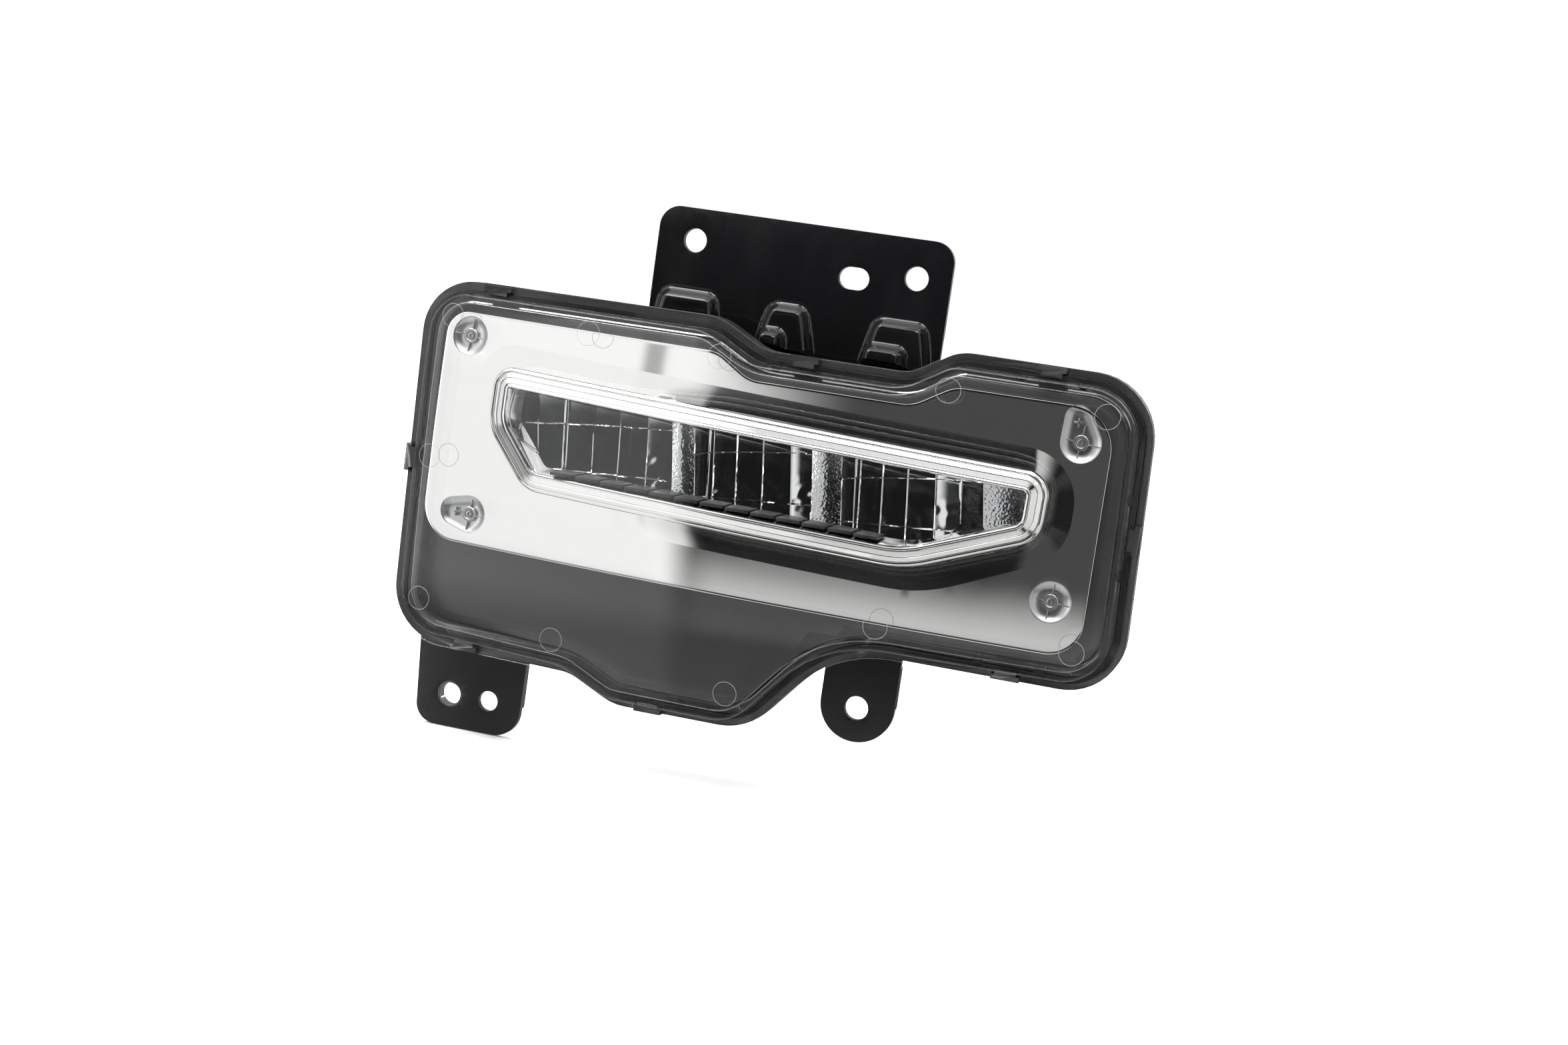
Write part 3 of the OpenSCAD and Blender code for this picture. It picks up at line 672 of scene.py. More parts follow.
class Bench:
    """Blender's modelling operators, used on one piece at a time."""

    @staticmethod
    def clear() -> None:
        """Deselects everything."""
        bpy.ops.object.select_all(action="DESELECT")

    @classmethod
    def pick(cls, *objects: bpy.types.Object) -> None:
        """Selects objects.

        Args:
            objects: the objects, the active one first.
        """
        cls.clear()
        for item in objects:
            item.select_set(True)
        bpy.context.view_layer.objects.active = objects[0]

    @classmethod
    def edit(cls, item: bpy.types.Object, *steps: Callable[[], object]) -> None:
        """Runs operators on the whole mesh in edit mode.

        Args:
            item: the piece.
            steps: calls that run one operator each.
        """
        cls.pick(item)
        bpy.ops.object.mode_set(mode="EDIT")
        bpy.ops.mesh.select_all(action="SELECT")
        for step in steps:
            step()
        bpy.ops.object.mode_set(mode="OBJECT")

    @classmethod
    def weld(cls, item: bpy.types.Object, distance: float = 0.004) -> None:
        """Merges points that coincide."""
        cls.edit(item, lambda: bpy.ops.mesh.remove_doubles(threshold=distance))

    @classmethod
    def outward(cls, item: bpy.types.Object) -> None:
        """Turns the faces of a closed mesh outwards."""
        cls.edit(item, lambda: bpy.ops.mesh.normals_make_consistent(inside=False))

    @classmethod
    def forward(cls, item: bpy.types.Object) -> None:
        """Makes an open skin's faces agree and look forwards.

        Args:
            item: the skin.
        """
        cls.outward(item)
        total = sum((face.normal * face.area for face in item.data.polygons), Vector())
        if total.y > 0:
            cls.edit(item, bpy.ops.mesh.flip_normals)

    @classmethod
    def sheet(cls, name: str, rows: Sequence[np.ndarray], wrapped: bool = True) -> bpy.types.Object:
        """Grid whose rows run along these lines of points.

        Args:
            name: the piece's name.
            rows: equally long rows of x, depth and z.
            wrapped: whether each row closes on itself.

        Returns:
            The sheet, welded along its seam.
        """
        net = np.stack(rows)
        if wrapped:
            net = np.concatenate([net, net[:, :1]], axis=1)
        cls.clear()
        down, across = net.shape[:2]
        bpy.ops.mesh.primitive_grid_add(x_subdivisions=across - 1, y_subdivisions=down - 1, size=1)
        made = bpy.context.object
        made.name = made.data.name = name
        made.data.vertices.foreach_set("co", net.astype(np.float32).ravel())
        cls.weld(made)
        return made

    @staticmethod
    def mesh(name: str, points: Sequence, faces: Sequence) -> bpy.types.Object:
        """Puts a mesh in the scene.

        Args:
            name: the piece's name.
            points: x, depth and z of each point.
            faces: point numbers of each face.

        Returns:
            The piece.
        """
        made = bpy.data.objects.new(name, bpy.data.meshes.new(name))
        made.data.from_pydata([tuple(point) for point in points], [], faces)
        bpy.context.scene.collection.objects.link(made)
        return made

    @classmethod
    def fill(cls, name: str, edge: np.ndarray, holes: Sequence[np.ndarray], depth: Depth,
             pitch: float, fine: Sequence[tuple] = ()) -> bpy.types.Object:
        """Many-cornered face on a curved surface, which no primitive gives, filled with even triangles.

        Args:
            name: the piece's name.
            edge: loop round it.
            holes: loops of its holes.
            depth: the surface.
            pitch: distance between the points inside.
            fine: boxes of x0, x1, z0, z1 and a closer pitch.

        Returns:
            The filled face.
        """
        loops = [edge, *holes]
        rim = np.concatenate(loops)
        (x0, z0), (x1, z1) = edge.min(axis=0), edge.max(axis=0)
        grids = [(x0, x1, z0, z1, pitch), *fine]
        lots = []
        for place, grid in enumerate(grids):
            lot = cls.stipple(*grid, grids[place + 1:])
            lot = lot[cls.clear_of(lot, edge, holes)]
            if len(lot):
                gap = np.sqrt(((lot[:, None] - rim[None]) ** 2).sum(axis=2)).min(axis=1)
                lots.append(lot[gap > 0.5 * grid[-1]])
        edges, start = [], 0
        for loop in loops:
            edges += [(start + i, start + (i + 1) % len(loop)) for i in range(len(loop))]
            start += len(loop)
        points = [Vector(point) for point in np.concatenate([rim, *lots])]
        flat, _, faces, *_ = delaunay_2d_cdt(points, edges, [], 1, 1e-5)
        flat = np.array([tuple(point) for point in flat])
        middles = np.array([flat[list(face)].mean(axis=0) for face in faces])
        faces = [face for face, kept in zip(faces, cls.clear_of(middles, edge, holes)) if kept]
        return cls.mesh(name, raised(flat, depth), faces)

    @staticmethod
    def stipple(x0: float, x1: float, z0: float, z1: float, step: float, skip: Sequence[tuple]) -> np.ndarray:
        """Staggered points over a box.

        Args:
            x0: left side of the box.
            x1: right side.
            z0: bottom.
            z1: top.
            step: distance between the points.
            skip: boxes that are left empty, as x0, x1, z0, z1 and their own step.

        Returns:
            Rows of x and z.
        """
        x, z = np.meshgrid(np.arange(x0, x1 + step / 2, step), np.arange(z0, z1 + step / 2, step))
        x = x + (np.arange(x.shape[0]) % 2)[:, None] * step / 2
        lot = np.stack([x.ravel(), z.ravel()], axis=1)
        for left, right, low, high, _ in skip:
            lot = lot[(lot[:, 0] < left) | (lot[:, 0] > right) | (lot[:, 1] < low) | (lot[:, 1] > high)]
        return lot

    @staticmethod
    def clear_of(points: np.ndarray, edge: np.ndarray, holes: Sequence[np.ndarray]) -> np.ndarray:
        """Which points lie inside the edge and outside every hole.

        Args:
            points: rows of x and z.
            edge: the outer loop.
            holes: the holes' loops.

        Returns:
            One truth value for each point.
        """
        kept = inside(points, edge)
        for hole in holes:
            kept &= ~inside(points, hole)
        return kept

    @classmethod
    def slab(cls, name: str, edge: np.ndarray, holes: Sequence[np.ndarray], front: Depth, back: Depth,
             pitch: float, fine: Sequence[tuple] = ()) -> bpy.types.Object:
        """Closed plate between two surfaces, with holes through it.

        Args:
            name: the piece's name.
            edge: loop round it.
            holes: loops of its holes.
            front: its front surface.
            back: its back surface.
            pitch: distance between the points inside.
            fine: boxes of x0, x1, z0, z1 and a closer pitch.

        Returns:
            The plate.
        """
        faces = [cls.fill(name, edge, holes, side, pitch, fine) for side in (front, back)]
        walls = [cls.sheet("wall", [raised(loop, front), raised(loop, back)]) for loop in (edge, *holes)]
        made = cls.join(name, *faces, *walls)
        cls.outward(made)
        return made

    @classmethod
    def join(cls, name: str, *parts: bpy.types.Object) -> bpy.types.Object:
        """Joins meshes into one and welds them.

        Args:
            name: the joined piece's name.
            parts: the meshes.

        Returns:
            The joined piece.
        """
        cls.pick(*parts)
        bpy.ops.object.join()
        made = bpy.context.object
        made.name = made.data.name = name
        cls.weld(made)
        return made

    @classmethod
    def modify(cls, item: bpy.types.Object, kind: str, **settings: object) -> None:
        """Adds a modifier and applies it.

        Args:
            item: the piece.
            kind: the modifier's type.
            settings: the modifier's settings.
        """
        cls.pick(item)
        added = item.modifiers.new(kind.lower(), kind)
        for name, value in settings.items():
            setattr(added, name, value)
        bpy.ops.object.modifier_apply(modifier=added.name)

    @classmethod
    def cut(cls, item: bpy.types.Object, tool: bpy.types.Object, operation: str = "DIFFERENCE") -> None:
        """Boolean with a tool that is then thrown away."""
        cls.modify(item, "BOOLEAN", object=tool, operation=operation, solver="EXACT")
        bpy.data.objects.remove(tool)

    @classmethod
    def soften(cls, item: bpy.types.Object, width: float, angle: float = 35.0, segments: int = 2) -> None:
        """Rounds the edges that are sharper than an angle."""
        cls.modify(item, "BEVEL", width=width, segments=segments, limit_method="ANGLE",
                   angle_limit=math.radians(angle), use_clamp_overlap=True, miter_outer="MITER_ARC")

    @classmethod
    def block(cls, low: Sequence[float], high: Sequence[float], round_mm: float = 0.0) -> bpy.types.Object:
        """Box with rounded edges.

        Args:
            low: its least x, depth and z.
            high: its greatest x, depth and z.
            round_mm: radius of its edges.

        Returns:
            The box.
        """
        cls.clear()
        centre = [(a + b) / 2 for a, b in zip(low, high)]
        bpy.ops.mesh.primitive_cube_add(size=1, location=centre, scale=[b - a for a, b in zip(low, high)])
        made = bpy.context.object
        bpy.ops.object.transform_apply(location=True, rotation=True, scale=True)
        if round_mm:
            cls.soften(made, round_mm)
        return made

    @classmethod
    def lathe(cls, name: str, profile: Sequence[tuple[float, float]], place: Sequence[float],
              axis: str = "Y", count: int = 32) -> bpy.types.Object:
        """Turned piece.

        Args:
            name: the piece's name.
            profile: (radius, distance along the axis) from one end to the other: a closed loop, or both
                ends on the axis.
            place: where distance 0 lies: x, depth and z.
            axis: the axis of turning.
            count: facets round it.

        Returns:
            The closed piece.
        """
        turn = np.linspace(0, 2 * math.pi, count, endpoint=False)
        rows = []
        for radius, along in profile:
            a, b = radius * np.cos(turn), radius * np.sin(turn)
            line = np.full(count, float(along))
            order = {"Y": (a, line, b), "X": (line, a, b), "Z": (a, b, line)}[axis]
            rows.append(np.stack(order, axis=1) + np.array(place))
        made = cls.sheet(name, rows)
        cls.outward(made)
        return made

    @classmethod
    def finish(cls, item: bpy.types.Object, body: Body, skin: Skin, nodes: Sequence[str] = (),
               angle: float = 35.0, flat: bool = False) -> bpy.types.Object:
        """Args:
            item: the piece, in millimetres about the lens's crown.
            body: the body it rides on.
            skin: its finish.
            nodes: CAD nodes that it stands for.
            angle: edges sharper than this stay sharp in its shading.
            flat: whether large faces stay flat in its shading.

        Returns:
            The piece.
        """
        cls.pick(item)
        bpy.ops.object.shade_smooth_by_angle(angle=math.radians(angle))
        if flat:
            cls.modify(item, "WEIGHTED_NORMAL", keep_sharp=True)
        item.data.transform(Matrix.Translation(DATUM) @ Matrix.Scale(MM, 4))
        item.data.materials.clear()
        item.data.materials.append(skin.material())
        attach(item, body.value)
        skin.slot
        if nodes:
            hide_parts(*nodes)
        LOG.info("%s on %s: %d faces", item.name, body.value, len(item.data.polygons))
        return item

    @classmethod
    def refine(cls, node: str, body: Body, skin: Skin, width: float = 0.25) -> bpy.types.Object:
        """Copy of a CAD node with its faces merged and its edges rounded, which stands for it.

        Args:
            node: the node's name.
            body: the body it rides on.
            skin: its finish.
            width: radius of its edges.

        Returns:
            The copy.
        """
        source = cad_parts[node]
        made = bpy.data.objects.new(node + "_piece", source.data.copy())
        bpy.context.scene.collection.objects.link(made)
        made.data.transform(Matrix.Scale(1 / MM, 4) @ Matrix.Translation(-DATUM))
        cls.edit(made, lambda: bpy.ops.mesh.remove_doubles(threshold=0.002),
                 lambda: bpy.ops.mesh.dissolve_limited(angle_limit=math.radians(0.8)))
        cls.soften(made, width, angle=32.0)
        return cls.finish(made, body, skin, [node], flat=True)


# ---------------------------------------------------------------- sub-assemblies

RIM = Outline.of([
    (-137.9, 60.2, 18), (-34.5, 60.8, 18), (-18, 52.2, 16), (29.7, 52.2, 14), (44.1, 61.2, 14),
    (108.6, 61.2, 21), (111.3, -40.2, 19), (19.7, -40.2, 38), (-7, -72.4, 21), (-53.8, -72.4, 18),
    (-70.4, -64.6, 14), (-135.8, -62.8, 20)])
WINDOW_RING = Outline.of([
    (-108.2, 34.2, 7), (80.3, 27.7, 8), (79.8, 6.5, 10), (38.5, -9.3, 40), (-92.2, -5.3, 12),
    (-108.2, 13.6, 16)], pitch=3.0, turn=5.0)
# x, z and radius at both ends of each fixing dish; a round dish has its ends all but together.
POSTS = ((-119.3, 42, 6.6, -119.3, 42.01, 6.6), (-111.2, -16.9, 6.3, -117.2, -16.7, 4.8),
         (87.3, 38.7, 6.5, 85.4, 46.2, 4.3), (85.7, -11.9, 6.7, 85.7, -11.89, 6.7))


@dataclass(frozen=True)
class Lens:
    """Crowned clear lens with its flange, clip windows and moulding marks; the marks' grey, half-opaque
    colour is painted shade.
    """

    flange_depth: float = 16.0
    flange_thick: float = 2.5
    flange_width: float = 4.6
    wall: float = 2.6
    shoulder: float = 1.0
    inner_shoulder: float = 0.5
    corner: float = 0.4
    ease: float = 0.12
    skirt: tuple = ((0.8, 0.0), (0.35, 0.12), (0.1, 0.4), (0.0, 0.8))
    # x, z and heading in degrees of each window in the flange.
    clips: tuple = (
        (-111, 60.3, 90), (-4.5, 52.2, 90), (74.7, 61.2, 90), (109.9, 10.9, 0), (74.7, -40.2, -90),
        (-40.6, -72.4, -90), (-107.3, -63.5, -90), (-136.9, -1.2, 180))
    clip_low: tuple = (-3.2, 10.0, -5.2)
    clip_high: tuple = (3.0, 30.0, 5.2)
    clip_round: float = 0.3
    mark_radius: float = 4.0
    mark_section: tuple = ((0.0, 0.03), (0.05, -0.05), (0.11, -0.05), (0.16, 0.03), (0.0, 0.03))
    marks: tuple = (
        (-124.4, 48.1), (-74.6, 49.3), (-29.1, 48.6), (45.2, 49), (94.7, 48.2), (-126, 0.8),
        (-124, -47.4), (-73.7, -51.9), (-12, -58.2), (33.6, -27.9), (95.2, -26))

    def build(self) -> None:
        """Builds the lens and its marks."""
        lens = self.shell()
        Bench.cut(lens, Bench.join("windows", *(self.window(*clip) for clip in self.clips)))
        Bench.finish(lens, Body.LAMP, Skin.LENS_CLEAR, ["outer_lens"], angle=30.0)
        # The rings are real moulding marks; their grey, half-opaque finish is painted shade for the dark line
        # that refraction makes at each one.
        rings = [self.mark(x, z) for x, z in self.marks]
        Bench.finish(Bench.join("lens_marks", *rings), Body.LAMP, Skin.LENS_MARK)

    def shell(self) -> bpy.types.Object:
        """Models the lens as one closed wall.

        Returns:
            The lens, without its clip windows.
        """
        outer, inner = crown(0.0), crown(self.wall)
        dome, hollow = self.flange_width, self.flange_width + self.wall
        rows = self.bend(outer, dome, self.shoulder, range(90, -1, -15))
        rows += [raised(RIM.inset(inset).loop(), depth) for inset, depth in self.flange(dome, hollow)]
        rows += self.bend(inner, hollow, self.inner_shoulder, range(0, 91, 30))
        wall = Bench.sheet("lens", rows)
        face = Bench.fill("face", RIM.inset(dome + self.shoulder).loop(), [], outer, 3.5)
        rear = Bench.fill("rear", RIM.inset(hollow + self.inner_shoulder).loop(), [], inner, 4.5)
        lens = Bench.join("lens", wall, face, rear)
        Bench.outward(lens)
        return lens

    def bend(self, surface: Depth, edge: float, radius: float, turns: Iterable[int]) -> list[np.ndarray]:
        """Lays rows round the shoulder between a crowned surface and the side wall.

        Args:
            surface: the crowned surface.
            edge: inset of the side wall.
            radius: the shoulder's radius.
            turns: degrees of turn, 0 at the side wall and 90 at the surface.

        Returns:
            Rows of points, one for each turn.
        """
        rows = []
        for turn in map(math.radians, turns):
            side, lift = radius * (1 - math.cos(turn)), radius * (1 - math.sin(turn))
            rows.append(raised(RIM.inset(edge + side).loop(), lambda x, z, lift=lift: surface(x, z) + lift))
        return rows

    def flange(self, dome: float, hollow: float) -> list[tuple[float, float]]:
        """Section of the flange, from the foot of the dome round to the inner wall.

        Args:
            dome: inset of the dome's outer wall.
            hollow: inset of its inner wall.

        Returns:
            Pairs of inset and depth.
        """
        front, back = self.flange_depth, self.flange_depth + self.flange_thick
        corner, ease = self.corner, self.ease
        return [(dome, front - corner), (dome - ease, front - ease), (dome - corner, front),
                *((inset, front + drop) for inset, drop in self.skirt), (0, back - corner),
                (0.1, back - ease), (corner, back), (hollow - corner, back), (hollow, back - corner)]

    def window(self, x: float, z: float, heading: float) -> bpy.types.Object:
        """Makes the tool that cuts a clip window into the flange's edge.

        Args:
            x: middle of the window, with z.
            z: see x.
            heading: degrees from the right towards which the edge faces.

        Returns:
            The tool.
        """
        tool = Bench.block(self.clip_low, self.clip_high, self.clip_round)
        turn = Matrix.Rotation(-math.radians(heading), 4, "Y")
        tool.data.transform(Matrix.Translation((x, 0, z)) @ turn)
        return tool

    def mark(self, x: float, z: float) -> bpy.types.Object:
        """Makes the fine raised ring that an ejector pin leaves on the lens.

        Args:
            x: middle of the ring, with z.
            z: see x.

        Returns:
            The ring.
        """
        outer = crown(0.0)
        made = Bench.sheet("mark", [raised(circle(x, z, self.mark_radius - inset, 48),
                                           lambda x, z, lift=lift: outer(x, z) + lift)
                                    for inset, lift in self.mark_section])
        Bench.outward(made)
        return made


@dataclass(frozen=True)
class Bezel:
    """Metallised panel: crowned plate, dished surround, stepped window ring and four fixing dishes."""

    gap: float = 6.0
    sheet_thick: float = 0.9
    dish_thick: float = 0.7
    plate: tuple = (
        (-128.5, 49.8, 8), (-31.7, 49.8, 12), (-19.8, 42.4, 12), (33.5, 42.4, 12), (46.1, 50.1, 12),
        (97, 50.1, 14), (97, -28.6, 11), (-128.3, -26.9, 12))
    plate_edge: tuple = ((0.8, 0.0), (0.22, -0.02), (0.06, -0.09), (0.0, -0.25), (0.0, -1.1))
    surround: tuple = (
        (-113.6, 41.9, 12), (88.6, 34.4, 17), (88.2, 2.6, 17), (45, -16.2, 50), (-95.4, -11.8, 18),
        (-113.2, 12.6, 22))
    # Inset from the window ring and height above the plate, from the slot's inner wall outwards.
    ring_profile: tuple = (
        (7.7, -19.0), (7.3, -8.0), (7.0, -2.2), (6.75, 0.4), (6.6, 1.15), (6.35, 1.6), (6.0, 1.78),
        (5.6, 1.7), (5.35, 1.5), (5.2, 1.42), (5.1, 1.62), (4.9, 1.7), (3.35, 1.05), (3.2, 0.85),
        (3.1, 1.08), (2.9, 1.18), (1.75, 0.55), (1.6, 0.3), (1.5, 0.52), (1.3, 0.78), (0.95, 0.85),
        (0.55, 0.6), (0.22, 0.05), (0.06, -0.7))
    fall_left: float = 0.06
    fall_gain: float = 0.125
    fall_loss: float = 0.085
    gain_span: tuple = (-62.0, -18.0)
    loss_span: tuple = (68.0, 82.0)
    # Inset from the dish's edge and depth below the plate.
    dish_profile: tuple = (
        (0.0, 0.0), (0.25, 0.06), (0.6, 0.3), (1.2, 0.75), (2.0, 1.15), (3.0, 1.4), (3.6, 1.45))
    boss_profile: tuple = (
        (1.5, 1.6), (1.5, 0.35), (1.65, 0.2), (2.3, 0.2), (2.45, 0.35), (2.5, 1.6), (1.5, 1.6))
    pin_profile: tuple = (
        (0.0, 1.1), (0.45, 1.05), (0.6, 0.6), (0.7, 0.4), (1.0, 0.38), (1.25, 0.5), (1.36, 0.75), (1.36, 9.0),
        (0.0, 9.4))
    rib_start: float = 2.3
    rib_margin: float = 0.9
    rib_half: float = 0.18
    rib_depths: tuple = (0.45, 1.9)
    rib_turn: float = 6.0
    rib_round: float = 0.1
    cross_share: float = 0.82
    cross_reach: tuple = (1.5, 0.3)
    cross_depths: tuple = (0.6, 1.9)

    def fall(self, x: np.ndarray) -> np.ndarray:
        """Slope of the surround towards the ring: gentle at both ends, steeper between."""
        gain, loss = smooth_step(x, *self.gain_span), smooth_step(x, *self.loss_span)
        return self.fall_left + self.fall_gain * gain - self.fall_loss * loss

    def level(self, height: float) -> Depth:
        """Depth of a surface this far in front of the plate."""
        return crown(self.gap - height)

    def plate_depth(self, x: float, z: float) -> float:
        """Depth of the plate at one place."""
        return float(self.level(0.0)(np.array(x), np.array(z)))

    def build(self) -> None:
        """Builds the panel, the ring, the fixing dishes and their screws."""
        edge = WINDOW_RING.recut(self.surround).loop()
        ring = self.ring(edge)
        bowls = Bench.join("fixing_dishes", *(self.dish(*post) for post in POSTS))
        for skin, nodes, angle in ((self.panel(edge), ["bezel"], 28.0), (ring, [], 17.0)):
            Bench.forward(skin)
            Bench.modify(skin, "SOLIDIFY", thickness=self.sheet_thick, offset=-1.0)
            Bench.finish(skin, Body.LAMP, Skin.BEZEL_CHROME, nodes, angle)
        # The fixing dishes take the darker chrome: painted shade for the grey that their curved mirrors show.
        Bench.finish(bowls, Body.LAMP, Skin.DISH_CHROME, angle=40.0)
        pins = [self.pin(*post[:2]) for post in POSTS]
        Bench.finish(Bench.join("bezel_screws_piece", *pins), Body.LAMP, Skin.ZINC_STEEL, ["bezel_screws"])

    def ring(self, edge: np.ndarray) -> bpy.types.Object:
        """Models the stepped ring round the slot and its surround.

        Args:
            edge: outer loop of the surround.

        Returns:
            The open skin.
        """
        front = self.level(0.0)
        rows = [raised(WINDOW_RING.inset(inset).loop(), self.level(height))
                for inset, height in self.ring_profile]
        base = WINDOW_RING.loop()
        for share in (0.0, 0.25, 0.5, 0.75, 1.0):
            line = base + (edge - base) * share
            rest = gap_to(line, edge)
            rows.append(raised(line, lambda x, z, rest=rest: front(x, z) + self.fall(x) * rest))
        return Bench.sheet("bezel_ring", rows)

    def panel(self, opening: np.ndarray) -> bpy.types.Object:
        """Models the plate with its rolled edge.

        Args:
            opening: loop of the opening that the surround fills.

        Returns:
            The open skin.
        """
        plate = Outline.of(self.plate, pitch=3.0, turn=6.0)
        border = [raised(plate.inset(inset).loop(), self.level(height)) for inset, height in self.plate_edge]
        holes = [opening, *(capsule(*post) for post in POSTS)]
        face = Bench.fill("face", plate.inset(self.plate_edge[0][0]).loop(), holes, self.level(0.0), 3.0)
        return Bench.join("bezel_panel", Bench.sheet("border", border), face)

    def dish(self, x0: float, z0: float, radius: float, x1: float, z1: float, far: float) -> bpy.types.Object:
        """Models a dished recess with a boss, four ribs and, where it is long, a small cross.

        Args:
            x0: middle of the boss, with z0.
            z0: see x0.
            radius: the dish's radius about the boss.
            x1: middle of the dish's far end, with z1.
            z1: see x1.
            far: the radius there.

        Returns:
            The dish.
        """
        front, level = self.level(0.0), self.plate_depth(x0, z0)
        bowl = Bench.sheet("dish", [raised(capsule(x0, z0, radius - inset, x1, z1, far - inset),
                                           lambda x, z, dip=dip: front(x, z) + dip)
                                    for inset, dip in self.dish_profile])
        inset, bottom = self.dish_profile[-1]
        floor = Bench.fill("floor", capsule(x0, z0, radius - inset, x1, z1, far - inset), [],
                           lambda x, z: front(x, z) + bottom, 1.2)
        skin = Bench.join("dish", bowl, floor)
        Bench.forward(skin)
        Bench.modify(skin, "SOLIDIFY", thickness=self.dish_thick, offset=-1.0)
        boss = Bench.lathe("boss", self.boss_profile, (x0, level, z0), count=28)
        ribs = []
        for heading in range(0, 360, 90):
            rib = Bench.block((self.rib_start, self.rib_depths[0], -self.rib_half),
                              (radius - self.rib_margin, self.rib_depths[1], self.rib_half), self.rib_round)
            turn = Matrix.Rotation(math.radians(heading + self.rib_turn), 4, "Y")
            rib.data.transform(Matrix.Translation((x0, level, z0)) @ turn)
            ribs.append(rib)
        if abs(x1 - x0) + abs(z1 - z0) > 1:
            x, z = x0 + self.cross_share * (x1 - x0), z0 + self.cross_share * (z1 - z0)
            near, deep = (level + depth for depth in self.cross_depths)
            for wide, high in (self.cross_reach, self.cross_reach[::-1]):
                low, top = (x - wide, near, z - high), (x + wide, deep, z + high)
                ribs.append(Bench.block(low, top, self.rib_round))
        return Bench.join("dish", skin, boss, *ribs)

    def pin(self, x: float, z: float) -> bpy.types.Object:
        """Pan-headed screw in a boss, with a hollow in its head."""
        return Bench.lathe("pin", self.pin_profile, (x, self.plate_depth(x, z), z), count=24)


@dataclass(frozen=True)
class MaskPanel:
    """Dark panel behind the lens, with a soft stepped margin."""

    depth: float = 11.5
    deepest: float = 24.0
    thick: float = 1.2
    # Inset from the rim and depth behind the panel's face, from the rim inwards.
    margin: tuple = (
        (7.9, 7.0), (7.9, 2.0), (8.0, 1.0), (8.3, 0.45), (8.8, 0.25), (10.6, 0.2), (10.9, 0.1), (11.2, 0.0))
    window_inset: float = 3.3
    post_hole: float = 4.0

    def build(self) -> None:
        """Builds the panel as a thin skin with a window."""
        front = crown(self.depth)
        rows = [raised(RIM.inset(inset).loop(),
                       lambda x, z, dip=dip: np.minimum(front(x, z) + dip, self.deepest))
                for inset, dip in self.margin]
        holes = [WINDOW_RING.inset(self.window_inset).loop()]
        holes += [circle(*post[:2], self.post_hole) for post in POSTS]
        face = Bench.fill("face", RIM.inset(self.margin[-1][0]).loop(), holes, front, 4.0)
        panel = Bench.join("mask_panel_piece", Bench.sheet("margin", rows), face)
        Bench.forward(panel)
        Bench.modify(panel, "SOLIDIFY", thickness=self.thick, offset=-1.0)
        Bench.finish(panel, Body.LAMP, Skin.MASK_DARK, ["mask_panel"])


